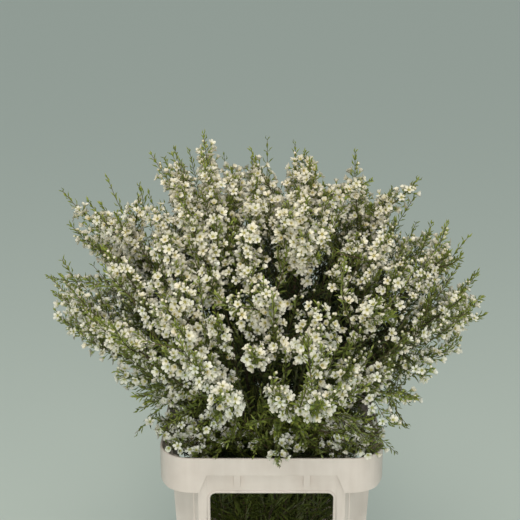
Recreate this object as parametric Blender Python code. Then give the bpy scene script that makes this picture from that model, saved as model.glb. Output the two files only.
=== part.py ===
"""Waxflower stems standing in a flower bucket with a windowed collar.

Metres, +Z up. The origin is on the floor under the middle of the bucket, and
the front is the narrow side, which faces -Y.
"""
from math import atan, atan2, cos, hypot, pi, radians, sin, sqrt

import bmesh
import bpy
from mathutils import Euler, Matrix, Vector
from mathutils.geometry import interpolate_bezier

# Clearance between pieces that rest on each other
GAP = 0.0003

# Plan of bucket and collar: rounded rectangles, deeper than wide
RIM = 0.150                  # half width of the outer rim
DEEPER = 0.050               # half depth is half width plus this
RIM_CORNER = 0.045           # corner radius of the outer rim
WALL = 0.003
CORNER_SEGMENTS = 6

# Rim: an outer skirt that hangs from the top edge round a stacking ledge
LEDGE_DROP = 0.014
BODY_TOP = 0.136             # half width of the body just under the skirt

# Bucket
BUCKET_HEIGHT = 0.235
BUCKET_FOOT = 0.123
BUCKET_SKIRT = 0.025

# Collar
COLLAR_HEIGHT = 0.2685
COLLAR_FOOT = 0.1222
FOOT_FLANGE = 0.1465
SKIRT_DROP = 0.025           # depth of the skirt along the middle of a side
LOBE_DROP = 0.050            # and of the lobes that it drops to at the corners
LOBE_RISE = 0.006            # the lobes end this much higher on the long sides
LOBE_REACH = 0.054           # from the corner lines to the end of a lobe
LOBE_SLANT = 0.010
PANEL_HALF = 0.098           # raised panel on the narrow sides
PANEL_RISE = 0.007
PANEL_SLANT = 0.006
RIB_PLACE = 0.046
RIB_WIDTH = 0.0085
RIB_DROP = 0.045
WINDOW_TOP = 0.055           # below the rim
WINDOW_HEIGHT = 0.165
FRONT_WINDOW = 0.164
SIDE_WINDOW = 0.250
WINDOW_CORNER = 0.008
WINDOW_CUT = 0.040
LIP = 0.004
LIP_RISE = 0.0015

# Stems: a spiral bundle that fans out above the collar
STEMS = 28
GOLDEN_ANGLE = pi * (3 - sqrt(5))
FIRST_TURN = radians(-20)
TWIST = radians(70)
STEM_RADIUS = 0.0026
STEM_TIP_RADIUS = 0.0018
STEM_END = 0.006             # straight length at a stem's upper end
FOOT_X, FOOT_Y = 0.070, 0.105
CROSSING_X, CROSSING_Y = 0.100, 0.148
CROSSING_DROP = 0.018        # the stems turn outwards this far below the rim

# Crown of the bunch: where the stems' tips lie, seen from a point low in the collar
FAN_HEIGHT = 0.363
FAN_SPREAD_Y = 0.050
LEAN_X, LEAN_Y = radians(50.5), radians(48)
CORNER_LIFT = 0.15           # share of its lean that a stem towards a corner loses
REACH = 0.510
REACH_LOSS = 0.110           # per square radian of lean
DROOP_START = 0.150          # sprays that reach past this depth arch over
DROOP = 1.2
DROOP_WIDTH = 0.220

# Flower heads: plain closed plumes round the flowering ends
HEAD_STARTS = 0.18           # share of the way from the crossing to the tip
HEAD_RADIUS = 0.072
HEAD_NECK = 0.007
HEAD_SHARE = 0.48            # of the distance to the nearest other stem
RIM_SHARE = 0.8              # of the distance to the collar's rim

# Points along a stem's straight and curved lengths, and along a head
STRAIGHT_STEPS = 12
PATH_STEPS = 24
HEAD_STEPS = 9


def material(name, colour, roughness):
    """A Principled material of one colour."""
    made = bpy.data.materials.new(name)
    made.use_nodes = True
    shader = made.node_tree.nodes["Principled BSDF"]
    shader.inputs["Base Color"].default_value = (*colour, 1.0)
    shader.inputs["Roughness"].default_value = roughness
    made.diffuse_color = (*colour, 1.0)
    return made


def new_object(name, data, finish):
    """An object of the given mesh or curve, with its material, in the scene."""
    made = bpy.data.objects.new(name, data)
    data.materials.append(finish)
    bpy.context.collection.objects.link(made)
    return made


def corner_arc(centre_x, centre_y, radius, first_angle):
    """Points of a quarter circle, counter-clockwise."""
    angles = [first_angle + pi / 2 * i / CORNER_SEGMENTS for i in range(CORNER_SEGMENTS + 1)]
    return [(centre_x + radius * cos(a), centre_y + radius * sin(a)) for a in angles]


def outline(half_width, panel_rise=0.0):
    """Plan of the body at a half width, counter-clockwise from the front side's left end.

    All plans share the rim's corner centres, so every outline is parallel to the rim. Each
    straight side also has points where the panel and the lobes of the skirt begin.
    """
    half_depth = half_width + DEEPER
    radius = RIM_CORNER - (RIM - half_width)
    cx, cy = half_width - radius, half_depth - radius
    lobe_x, lobe_y = RIM - LOBE_REACH, RIM + DEEPER - LOBE_REACH
    steps = [
        (PANEL_HALF + PANEL_SLANT, 0.0),
        (PANEL_HALF, panel_rise),
        (lobe_x, panel_rise),
        (lobe_x - LOBE_SLANT, panel_rise),
    ]
    across = [(-x, rise) for x, rise in steps] + steps[::-1]
    along = [-lobe_y, -lobe_y + LOBE_SLANT, lobe_y - LOBE_SLANT, lobe_y]
    points = [(x, -half_depth - rise) for x, rise in across]
    points += corner_arc(cx, -cy, radius, -pi / 2)
    points += [(half_width, y) for y in along]
    points += corner_arc(cx, cy, radius, 0.0)
    points += [(-x, half_depth + rise) for x, rise in across]
    points += corner_arc(-cx, cy, radius, pi / 2)
    points += [(-half_width, -y) for y in along]
    points += corner_arc(-cx, -cy, radius, pi)
    return points


def lobed_drop(x, y):
    """Depth of the collar's skirt below the rim at a place on its outline."""
    small = 1e-5
    in_lobe = abs(x) > RIM - LOBE_REACH - small and abs(y) > RIM + DEEPER - LOBE_REACH - small
    if not in_lobe:
        return SKIRT_DROP
    straight = RIM + DEEPER - RIM_CORNER
    mid_corner = straight + RIM_CORNER * sin(pi / 4)
    past = (mid_corner - abs(y)) / (mid_corner - straight)
    return LOBE_DROP - LOBE_RISE * min(max(past, 0.0), 1.0)


def loft(name, rings, capped, finish):
    """A closed body through rings of points; capped ends, or else the last joins the first."""
    bm = bmesh.new()
    loops = [[bm.verts.new(p) for p in ring] for ring in rings]
    pairs = list(zip(loops, loops[1:]))
    if capped:
        bm.faces.new(loops[0])
        bm.faces.new(loops[-1])
    else:
        pairs.append((loops[-1], loops[0]))
    for lower, upper in pairs:
        for i in range(len(lower)):
            bm.faces.new((lower[i - 1], lower[i], upper[i], upper[i - 1]))
    bmesh.ops.recalc_face_normals(bm, faces=bm.faces)
    mesh = bpy.data.meshes.new(name)
    bm.to_mesh(mesh)
    bm.free()
    mesh.shade_smooth()
    mesh.set_sharp_from_angle(angle=radians(35))
    return new_object(name, mesh, finish)


def level(half_width, z, panel_rise=0.0):
    """The outline at a half width, at one height."""
    return [(x, y, z) for x, y in outline(half_width, panel_rise)]


def bucket(finish):
    """The open bucket, whose ledge inside the rim carries the collar."""
    top = BUCKET_HEIGHT
    under = top - LEDGE_DROP - WALL
    rings = [
        level(BUCKET_FOOT, 0.0),
        level(BODY_TOP, under),
        level(RIM - WALL, under),
        level(RIM - WALL, top - BUCKET_SKIRT),
        level(RIM, top - BUCKET_SKIRT),
        level(RIM, top),
        level(RIM - WALL, top),
        level(RIM - WALL, top - LEDGE_DROP),
        level(BODY_TOP - WALL, top - LEDGE_DROP),
        level(BUCKET_FOOT - WALL, WALL),
    ]
    return loft("bucket", rings, True, finish)


def rounded_prism(width, height, radius, thickness, place):
    """Mesh of an upright rounded rectangle, thick along Y, moved by a matrix."""
    bm = bmesh.new()
    cx, cz = width / 2 - radius, height / 2 - radius
    ring = []
    for side_x, side_z, first in ((1, -1, -pi / 2), (1, 1, 0), (-1, 1, pi / 2), (-1, -1, pi)):
        ring += corner_arc(side_x * cx, side_z * cz, radius, first)
    face = bm.faces.new([bm.verts.new((x, -thickness / 2, z)) for x, z in ring])
    grown = bmesh.ops.extrude_face_region(bm, geom=[face])["geom"]
    moved = [g for g in grown if isinstance(g, bmesh.types.BMVert)]
    bmesh.ops.translate(bm, verts=moved, vec=(0, thickness, 0))
    bmesh.ops.transform(bm, matrix=place, verts=bm.verts)
    bmesh.ops.recalc_face_normals(bm, faces=bm.faces)
    mesh = bpy.data.meshes.new("prism")
    bm.to_mesh(mesh)
    bm.free()
    return mesh


def joined(name, meshes, finish):
    """One helper object made of several separate meshes, kept out of the model."""
    bm = bmesh.new()
    for mesh in meshes:
        bm.from_mesh(mesh)
        bpy.data.meshes.remove(mesh)
    whole = bpy.data.meshes.new(name)
    bm.to_mesh(whole)
    bm.free()
    helper = new_object(name, whole, finish)
    helper.hide_render = True
    helper.display_type = "WIRE"
    return helper


def facing(turn, distance, z, x=0.0, lean=0.0):
    """Placement of an upright shape on the wall that faces one way, seen from outside."""
    place = Matrix.Rotation(turn, 4, "Z") @ Matrix.Translation((x, -distance, z))
    return place @ Matrix.Rotation(lean, 4, "X")


def window_shapes(foot, under):
    """Frames raised round the windows, and cutters through them; both follow the walls."""
    top = under + LEDGE_DROP + WALL
    middle = top - WINDOW_TOP - WINDOW_HEIGHT / 2
    taper = (BODY_TOP - COLLAR_FOOT) / (under - foot - WALL)
    wall_x = BODY_TOP - taper * (under - middle)
    wall_y = wall_x + DEEPER + PANEL_RISE
    frames, cutters = [], []
    sides = ((FRONT_WINDOW, wall_y, (0, pi)), (SIDE_WINDOW, wall_x, (pi / 2, -pi / 2)))
    for width, wall, turns in sides:
        frame = (width + 2 * LIP, WINDOW_HEIGHT + 2 * LIP, WINDOW_CORNER + LIP, 2 * LIP_RISE)
        cutter = (width, WINDOW_HEIGHT, WINDOW_CORNER, WINDOW_CUT)
        for turn in turns:
            leaning = facing(turn, wall, middle, lean=atan(taper))
            frames.append(rounded_prism(*frame, leaning))
            cutters.append(rounded_prism(*cutter, facing(turn, wall, middle)))
    return frames, cutters


def rib_shapes(top):
    """Short ribs that bridge the gap between the raised panels and the skirt."""
    panel = BODY_TOP + DEEPER + PANEL_RISE - 0.8 * WALL
    skirt = RIM + DEEPER - 0.5 * WALL
    upper, lower = top - LEDGE_DROP - 0.5 * WALL, top - RIB_DROP
    size = (RIB_WIDTH, upper - lower, 0.5 * WALL, skirt - panel)
    return [
        rounded_prism(*size, facing(turn, (panel + skirt) / 2, (upper + lower) / 2, x=x))
        for turn in (0, pi)
        for x in (-RIB_PLACE, RIB_PLACE)
    ]


def collar(finish):
    """The windowed collar that stands on the bucket's ledge and holds the bunch."""
    foot = BUCKET_HEIGHT - LEDGE_DROP + GAP
    top = foot + COLLAR_HEIGHT
    under = top - LEDGE_DROP - WALL
    rim = outline(RIM)
    rings = [
        level(FOOT_FLANGE, foot),
        level(FOOT_FLANGE, foot + WALL),
        level(COLLAR_FOOT, foot + WALL, PANEL_RISE),
        level(BODY_TOP, under, PANEL_RISE),
        level(RIM - WALL, under),
        [(x, y, top - lobed_drop(*p)) for (x, y), p in zip(outline(RIM - WALL), rim)],
        [(x, y, top - lobed_drop(x, y)) for x, y in rim],
        level(RIM, top),
        level(RIM - WALL, top),
        level(RIM - WALL, top - LEDGE_DROP),
        level(BODY_TOP - WALL, top - LEDGE_DROP, PANEL_RISE),
        level(COLLAR_FOOT - WALL, foot, PANEL_RISE),
    ]
    made = loft("collar", rings, False, finish)
    frames, cutters = window_shapes(foot, under)
    for name, meshes, operation in (
        ("collar_frames_helper", frames + rib_shapes(top), "UNION"),
        ("collar_windows_cutter", cutters, "DIFFERENCE"),
    ):
        cut = made.modifiers.new(name, "BOOLEAN")
        cut.operation = operation
        cut.object = joined(name, meshes, finish)
    return top


def spray_path(index, rim_z):
    """Points of one stem's centre line: its foot, then from the crossing to its tip.

    The stems are spread over the bucket's plan as a sunflower spreads its seeds. Their feet
    are turned round the middle, so the bundle is a spiral one and no two stems meet.
    """
    share = sqrt((index + 0.5) / STEMS)
    turn = FIRST_TURN - index * GOLDEN_ANGLE
    u, v = share * cos(turn), share * sin(turn)
    foot = Vector((
        FOOT_X * share * cos(turn - TWIST),
        FOOT_Y * share * sin(turn - TWIST),
        WALL + GAP,
    ))
    crossing = Vector((CROSSING_X * u, CROSSING_Y * v, rim_z - CROSSING_DROP))
    sideways = (crossing - foot).xy.length / (crossing - foot).length
    foot.z += STEM_RADIUS * sideways
    lean, bearing = hypot(LEAN_X * u, LEAN_Y * v), atan2(LEAN_Y * v, LEAN_X * u)
    lean *= 1 - CORNER_LIFT * share * sin(2 * bearing) ** 2
    outwards = Euler((0, lean, bearing)).to_matrix() @ Vector((0, 0, 1))
    reach = REACH - REACH_LOSS * lean**2
    tip = Vector((0, FAN_SPREAD_Y * v, FAN_HEIGHT)) + outwards * reach
    droop = DROOP * max(0.0, 1 - (tip.x / DROOP_WIDTH) ** 2)
    past = max(0.0, abs(tip.y) - DROOP_START)
    tip.z -= droop * past**2
    towards = (outwards - Vector((0, 0, droop * past))).normalized()
    span = (tip - crossing).length
    upwards = (crossing - foot).normalized()
    curve = interpolate_bezier(
        crossing, crossing + upwards * span * 0.30, tip - towards * span * 0.35, tip, PATH_STEPS
    )
    return foot, curve


def rim_distance(point, rim_z):
    """Distance from a point above the collar to the collar's rim or outside."""
    x, y = abs(point.x) - RIM, abs(point.y) - RIM - DEEPER
    if x < 0 and y < 0:
        level_distance = -max(x, y)
    else:
        level_distance = hypot(max(x, 0.0), max(y, 0.0))
    return hypot(level_distance, max(point.z - rim_z, 0.0))


def tube(name, points, radii, sides, finish):
    """A round tube of changing radius through points, closed by flat caps."""
    curve = bpy.data.curves.new(name, "CURVE")
    curve.dimensions = "3D"
    curve.bevel_depth = max(radii)
    curve.bevel_resolution = sides // 2 - 2
    curve.render_resolution_u = 0
    curve.use_fill_caps = True
    spline = curve.splines.new("POLY")
    spline.points.add(len(points) - 1)
    for knot, point, radius in zip(spline.points, points, radii):
        knot.co = (*point, 1.0)
        knot.radius = radius / curve.bevel_depth
    spline.use_smooth = True
    return new_object(name, curve, finish)


def nearest_stem(point, paths, own):
    """Distance from a point to the nearest centre line of another stem."""
    return min(
        (point - other).length
        for index, path in enumerate(paths)
        if index != own
        for other in path
    )


def head_profile(share):
    """Radius of a plume along its length, as a share of its fullest: swells, then rounds off."""
    swell = sin(min(share / 0.40, 1.0) * pi / 2)
    close = sqrt(max(1.0 - (max(share - 0.55, 0.0) / 0.46) ** 2, 0.0))
    return swell * close


def sprays(rim_z, bark, bloom):
    """Each stem as a woody tube, with a flower head from a little above the rim to the tip."""
    feet, curves = zip(*(spray_path(index, rim_z) for index in range(STEMS)))
    first = round(HEAD_STARTS * (PATH_STEPS - 1))
    full = [
        [foot.lerp(curve[0], step / STRAIGHT_STEPS) for step in range(STRAIGHT_STEPS)] + curve
        for foot, curve in zip(feet, curves)
    ]
    for index, (foot, curve) in enumerate(zip(feet, curves)):
        last = PATH_STEPS - 1
        points, radii = [], []
        for step in range(HEAD_STEPS + 1):
            place = first + (last - first) * step / HEAD_STEPS
            below = min(int(place), last - 1)
            point = curve[below].lerp(curve[below + 1], place - below)
            room = min(
                HEAD_RADIUS,
                HEAD_SHARE * nearest_stem(point, full, index),
                RIM_SHARE * rim_distance(point, rim_z),
            )
            points.append(point)
            radii.append(max(room * head_profile(step / HEAD_STEPS), HEAD_NECK))
        number = f"{index + 1:02d}"
        tube(f"flower_head_{number}", points, radii, 8, bloom)

        neck, forward = points[0], (points[1] - points[0]).normalized()
        woody = [foot, foot.lerp(curve[0], 0.5), *curve[:first - 1:2]]
        woody += [neck - forward * STEM_END, neck - forward * GAP]
        taper = [
            STEM_RADIUS + (STEM_TIP_RADIUS - STEM_RADIUS) * (p.z / neck.z) for p in woody
        ]
        tube(f"stem_{number}", woody, taper, 6, bark)


def main():
    """Clears the scene and builds the bucket, the collar and the bunch."""
    for old in list(bpy.data.objects):
        bpy.data.objects.remove(old)
    bucket(material("bucket_plastic", (0.55, 0.50, 0.42), 0.55))
    rim_z = collar(material("collar_plastic", (0.60, 0.55, 0.47), 0.50))
    bark = material("stem_bark", (0.16, 0.13, 0.06), 0.75)
    bloom = material("waxflower_bloom", (0.62, 0.64, 0.48), 0.60)
    sprays(rim_z, bark, bloom)


main()
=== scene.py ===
"""Looks of a bunch of waxflower stems standing in a flower bucket with a windowed collar.

Metres, +Z up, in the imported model's own frame: the origin is on the floor under the middle
of the bucket, and the front is the narrow side, which faces -Y.
"""
import logging
from dataclasses import dataclass, field
from enum import Enum
from functools import cached_property
from math import atan, cos, pi, radians, sin, sqrt

import bpy
import numpy as np
from mathutils import Matrix, Vector
from numpy.typing import NDArray


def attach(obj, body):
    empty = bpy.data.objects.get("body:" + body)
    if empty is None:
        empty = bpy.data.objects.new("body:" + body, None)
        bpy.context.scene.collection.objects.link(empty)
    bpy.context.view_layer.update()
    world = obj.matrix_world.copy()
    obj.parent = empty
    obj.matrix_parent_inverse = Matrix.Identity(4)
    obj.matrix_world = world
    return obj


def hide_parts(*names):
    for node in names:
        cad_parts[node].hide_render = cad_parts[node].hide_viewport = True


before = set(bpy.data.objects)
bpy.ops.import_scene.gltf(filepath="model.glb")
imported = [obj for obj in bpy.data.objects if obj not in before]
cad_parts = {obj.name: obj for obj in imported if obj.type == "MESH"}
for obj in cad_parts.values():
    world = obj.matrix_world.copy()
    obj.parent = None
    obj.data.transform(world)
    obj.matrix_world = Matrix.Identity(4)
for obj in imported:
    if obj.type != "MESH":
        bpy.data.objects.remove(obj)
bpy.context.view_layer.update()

Array = NDArray[np.float64]
Colour = tuple[float, float, float, float]
Profile = tuple[tuple[float, float, float], ...]
log = logging.getLogger("waxflower")

BODY = "root"
MAP = "OFBake"          # the plants' map: tint of the item across, place along the item up
MM = 0.001
MAP_WIDTH = 0.02        # width of one item on the map
UP = np.array([0.0, 0.0, 1.0])
CREASE = radians(75)    # angle between a plant's faces past which their edge is shaded sharp
MOULD_CREASE = radians(40)      # the same for bucket and collar
FLAT_FACE_WEIGHT = 90   # how much large faces rule the shading of the edges beside them
HAIR = 1e-5             # clears a rounding error
# Corners of a plan: the side that each lies on, right and up, and the turn where it begins
CORNER_TURNS = ((1, -1, -pi / 2), (1, 1, 0.0), (-1, 1, pi / 2), (-1, -1, pi))
FORM_SEED = 7           # seed of the flower forms' draws
FORMS_EACH = 3          # flower forms at each stage of opening
FIRST_SEED = 1000       # seed of the first spray's draws


def linear(code: str) -> Colour:
    """Turns an sRGB hex colour into Blender's linear one.

    Args:
        code: six hex digits, such as "c8c0b4".
    Returns:
        Linear red, green, blue and a full alpha.
    """
    parts = np.array([int(code[i:i + 2], 16) for i in (0, 2, 4)]) / 255
    low, high = parts / 12.92, ((parts + 0.055) / 1.055) ** 2.4
    return (*np.where(parts <= 0.04045, low, high).tolist(), 1.0)


def unit(vectors: Array) -> Array:
    """Scales vectors, along the last axis, to a length of one."""
    return vectors / np.maximum(np.linalg.norm(vectors, axis=-1, keepdims=True), 1e-12)


def smooth_step(low: float, high: float, value: Array) -> Array:
    """Rises from 0 at low to 1 at high as 3t^2 - 2t^3."""
    share = np.clip((value - low) / (high - low), 0, 1)
    return share * share * (3 - 2 * share)


@dataclass(frozen=True)
class Ramp:
    """A change that sets in between two values of a measure, as smooth_step does."""

    size: float
    low: float
    high: float

    def at(self, value: Array) -> Array:
        """The change at a value."""
        return self.size * smooth_step(self.low, self.high, value)

    def left(self, value: Array) -> Array:
        """What is left of the change to come at a value."""
        return self.size * (1 - smooth_step(self.low, self.high, value))


@dataclass
class Shape:
    """Vertices with their places on the plants' map, and faces of three or four corners."""

    points: Array
    spots: Array
    triangles: NDArray[np.int64] = field(default_factory=lambda: np.zeros((0, 3), np.int64))
    quads: NDArray[np.int64] = field(default_factory=lambda: np.zeros((0, 4), np.int64))

    @staticmethod
    def merged(shapes: list["Shape"]) -> "Shape":
        """Lays several shapes into one, each still a body of its own."""
        starts = np.cumsum([0, *(len(s.points) for s in shapes)])[:-1]
        return Shape(
            np.concatenate([s.points for s in shapes]),
            np.concatenate([s.spots for s in shapes]),
            np.concatenate([s.triangles + start for s, start in zip(shapes, starts)]),
            np.concatenate([s.quads + start for s, start in zip(shapes, starts)]),
        )

    def mesh(self, name: str) -> bpy.types.Mesh:
        """Writes the shape into a smooth-shaded mesh with its map."""
        corners = np.concatenate([self.triangles.ravel(), self.quads.ravel()])
        sides = np.repeat([3, 4], [len(self.triangles), len(self.quads)])
        made = bpy.data.meshes.new(name)
        made.vertices.add(len(self.points))
        made.vertices.foreach_set("co", self.points.astype(np.float32).ravel())
        made.loops.add(len(corners))
        made.loops.foreach_set("vertex_index", corners.astype(np.int32))
        made.polygons.add(len(sides))
        made.polygons.foreach_set("loop_start", (np.cumsum(sides) - sides).astype(np.int32))
        made.uv_layers.new(name=MAP).uv.foreach_set(
            "vector", self.spots[corners].astype(np.float32).ravel()
        )
        made.update(calc_edges=True)
        made.shade_smooth()
        made.set_sharp_from_angle(angle=CREASE)
        return made


def closed_rings(rows: int, sides: int, first: int = 0) -> NDArray[np.int64]:
    """Quads between rows of ring vertices, pointing outwards where rings turn left going up.

    Args:
        rows: number of rings, one after another.
        sides: vertices in each ring.
        first: number of the first vertex.
    Returns:
        Corner numbers, (rows - 1) * sides by 4.
    """
    row, side = np.meshgrid(np.arange(rows - 1), np.arange(sides), indexing="ij")
    after = (side + 1) % sides
    corners = (row * sides + side, row * sides + after, (row + 1) * sides + after,
               (row + 1) * sides + side)
    return np.stack([c.ravel() for c in corners], 1) + first


def end_caps(rows: int, sides: int) -> NDArray[np.int64]:
    """Fans over both ends of rows of ring vertices, round the two vertices that follow them."""
    side, after = np.arange(sides), (np.arange(sides) + 1) % sides
    last = (rows - 1) * sides
    return np.concatenate([
        np.stack([0 * side + last + sides, after, side], 1),
        np.stack([0 * side + last + sides + 1, last + side, last + after], 1),
    ])


def turned(profile: Profile, sides: int) -> Shape:
    """A body turned about Z, closed by a pole at each end.

    At angle a and profile place k a point is (r_k cos a, r_k sin a, h_k); the first and last
    place are the poles, where every a gives the same point.

    Args:
        profile: radius and height in millimetres and place on the map, from below.
        sides: vertices round each ring.
    Returns:
        The body, whose first vertex is the lower pole.
    """
    radii, heights, along = np.array(profile).T
    radii, heights = radii * MM, heights * MM
    angle = 2 * pi * np.arange(sides) / sides
    r, h = radii[1:-1, None], heights[1:-1, None]
    rings = np.stack([r * np.cos(angle), r * np.sin(angle), h + 0 * angle], -1).reshape(-1, 3)
    points = np.concatenate([[[0, 0, heights[0]]], rings, [[0, 0, heights[-1]]]])
    rows = len(radii) - 2
    side, after = np.arange(sides), (np.arange(sides) + 1) % sides
    last = 1 + (rows - 1) * sides
    lower = np.stack([0 * side, 1 + after, 1 + side], 1)
    upper = np.stack([0 * side + last + sides, last + side, last + after], 1)
    v = np.concatenate([along[:1], np.repeat(along[1:-1], sides), along[-1:]])
    u = np.concatenate([[0.5], np.tile(0.5 + 0.5 * np.cos(angle), rows), [0.5]])
    return Shape(points, np.stack([u, v], 1), np.concatenate([lower, upper]),
                 closed_rings(rows, sides, 1))


def tubes(paths: Array, radii: Array, sides: int, tints: Array, along: Array) -> Shape:
    """Round twigs of changing radius along many paths at once, closed at both ends.

    At place k of a path and angle a a point is centre + r_k (n cos a + b sin a), with n and b
    square to the path.

    Args:
        paths: centre lines, (twigs, steps, 3).
        radii: radius at each place, (twigs, steps).
        sides: vertices round each twig.
        tints: each twig's place across the map, (twigs,).
        along: each place's height on the map, (twigs, steps).
    Returns:
        All the twigs as one shape of separate bodies.
    """
    count, steps = radii.shape
    _, across, over = axes_along(paths)
    angle = 2 * pi * np.arange(sides) / sides
    ring = (across[:, :, None] * np.cos(angle)[:, None] + over[:, :, None] * np.sin(angle)[:, None])
    rings = (paths[:, :, None] + ring * radii[:, :, None, None]).reshape(count, -1, 3)
    ends = paths[:, [0, -1]]
    points = np.concatenate([rings, ends], 1).reshape(-1, 3)
    starts = np.arange(count)[:, None, None] * (steps * sides + 2)
    v = np.concatenate([np.repeat(along, sides, 1), along[:, [0, -1]]], 1)
    wave = np.concatenate([np.tile(0.5 + 0.5 * np.cos(angle), steps), [0.5, 0.5]])
    u = spot_across(tints[:, None], wave[None])
    return Shape(points, np.stack([u, v], -1).reshape(-1, 2),
                 (end_caps(steps, sides) + starts).reshape(-1, 3),
                 (closed_rings(steps, sides) + starts).reshape(-1, 4))


def spot_across(tints: Array, across: Array) -> Array:
    """Place across the map: an item's tint, widened a little so that its faces have an area."""
    return np.clip(tints, 0, 1) * (1 - MAP_WIDTH) + across * MAP_WIDTH


def axes_along(paths: Array) -> tuple[Array, Array, Array]:
    """Directions at each place of many paths: along it, and two square to it and each other.

    Args:
        paths: points, (paths, steps, 3).
    Returns:
        Three arrays of unit vectors of that shape.
    """
    forward = unit(np.gradient(paths, axis=1))
    mean = unit(paths[:, -1] - paths[:, 0])
    least = np.eye(3)[np.argmin(np.abs(mean), axis=1)]
    across = unit(np.cross(least[:, None], forward))
    return forward, across, np.cross(forward, across)


def bezier(a: Array, b: Array, c: Array, d: Array, share: Array) -> Array:
    """Points of cubic curves at shares from 0 to 1, from ends a and d and handles b and c."""
    t = share[..., None]
    return (1 - t)**3 * a + 3 * t * (1 - t)**2 * b + 3 * t**2 * (1 - t) * c + t**3 * d


def along_curves(curves: Array, share: Array) -> Array:
    """Points at shares of many cubic curves, which are given as (curves, 4, 3)."""
    return bezier(*(curves[:, [k]] for k in range(4)), share)


def even_points(curves: Array, count: int) -> Array:
    """Points spread evenly along each of many cubic curves, from end to end."""
    return along_curves(curves, np.linspace(0, 1, count)[None])


def arcs(origin: Array, start: Array, tip: Array, finish: Array,
         handles: tuple[float, float]) -> Array:
    """Cubic curves that leave their origins in one direction and reach their tips in another.

    Args:
        origin: first ends, (curves, 3).
        start: directions there.
        tip: last ends.
        finish: directions there.
        handles: lengths of the handles, as shares of the distance between the ends.
    Returns:
        Control points, (curves, 4, 3).
    """
    span = np.linalg.norm(tip - origin, axis=1)[:, None]
    return np.stack([origin, origin + start * span * handles[0],
                     tip - finish * span * handles[1], tip], 1)


def leaning(lean: Array, bearing: Array) -> Array:
    """Unit vectors that lean away from +Z by an angle, at a bearing about Z."""
    return np.stack([np.sin(lean) * np.cos(bearing), np.sin(lean) * np.sin(bearing),
                     np.cos(lean)], 1)


def stamped(forms: list[Shape], kinds: NDArray[np.int64], origins: Array, axes: Array,
            sizes: Array, tints: Array) -> Shape:
    """Copies of small forms, each turned, scaled and put in its place.

    Args:
        forms: variants with the same faces.
        kinds: number of the variant that each copy is, (copies,).
        origins: places, (copies, 3).
        axes: rows are the directions of a copy's own X, Y and Z, (copies, 3, 3).
        sizes: scale along each of them, (copies, 3).
        tints: each copy's place across the map, (copies,).
    Returns:
        All the copies as one shape of separate bodies.
    """
    local = np.stack([f.points for f in forms])[kinds]
    points = origins[:, None] + np.einsum("nkc,nc,ncd->nkd", local, sizes, axes)
    form = forms[0]
    starts = np.arange(len(origins))[:, None, None] * len(form.points)
    u = spot_across(tints[:, None], form.spots[None, :, 0])
    v = np.broadcast_to(form.spots[:, 1], u.shape)
    return Shape(points.reshape(-1, 3), np.stack([u, v], -1).reshape(-1, 2),
                 (form.triangles + starts).reshape(-1, 3), (form.quads + starts).reshape(-1, 4))


def add_node(tree: bpy.types.NodeTree, kind: str, values: dict | None = None,
             links: dict | None = None, stops: list[tuple[float, str]] | None = None,
             **settings: object) -> bpy.types.Node:
    """Adds one node to a tree with its settings and links.

    Args:
        tree: the material's nodes.
        kind: Blender's name for the node.
        values: input name or number to its value.
        links: input name or number to the output that feeds it.
        stops: place and hex colour of each stop of a colour ramp.
        settings: the node's own properties.
    Returns:
        The new node.
    """
    made = tree.nodes.new(kind)
    for name, value in settings.items():
        setattr(made, name, value)
    for name, value in (values or {}).items():
        made.inputs[name].default_value = value
    for name, source in (links or {}).items():
        tree.links.new(source, made.inputs[name])
    for number, (place, code) in enumerate(stops or []):
        ramp = made.color_ramp.elements
        stop = ramp[number] if number < 2 else ramp.new(place)
        stop.position, stop.color = place, linear(code)
    return made


def new_material(name: str) -> tuple[bpy.types.Material, bpy.types.NodeTree, bpy.types.Node]:
    """Makes a material. Returns it with its nodes and its Principled shader."""
    made = bpy.data.materials.new(name)
    made.use_nodes = True
    return made, made.node_tree, made.node_tree.nodes["Principled BSDF"]


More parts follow.
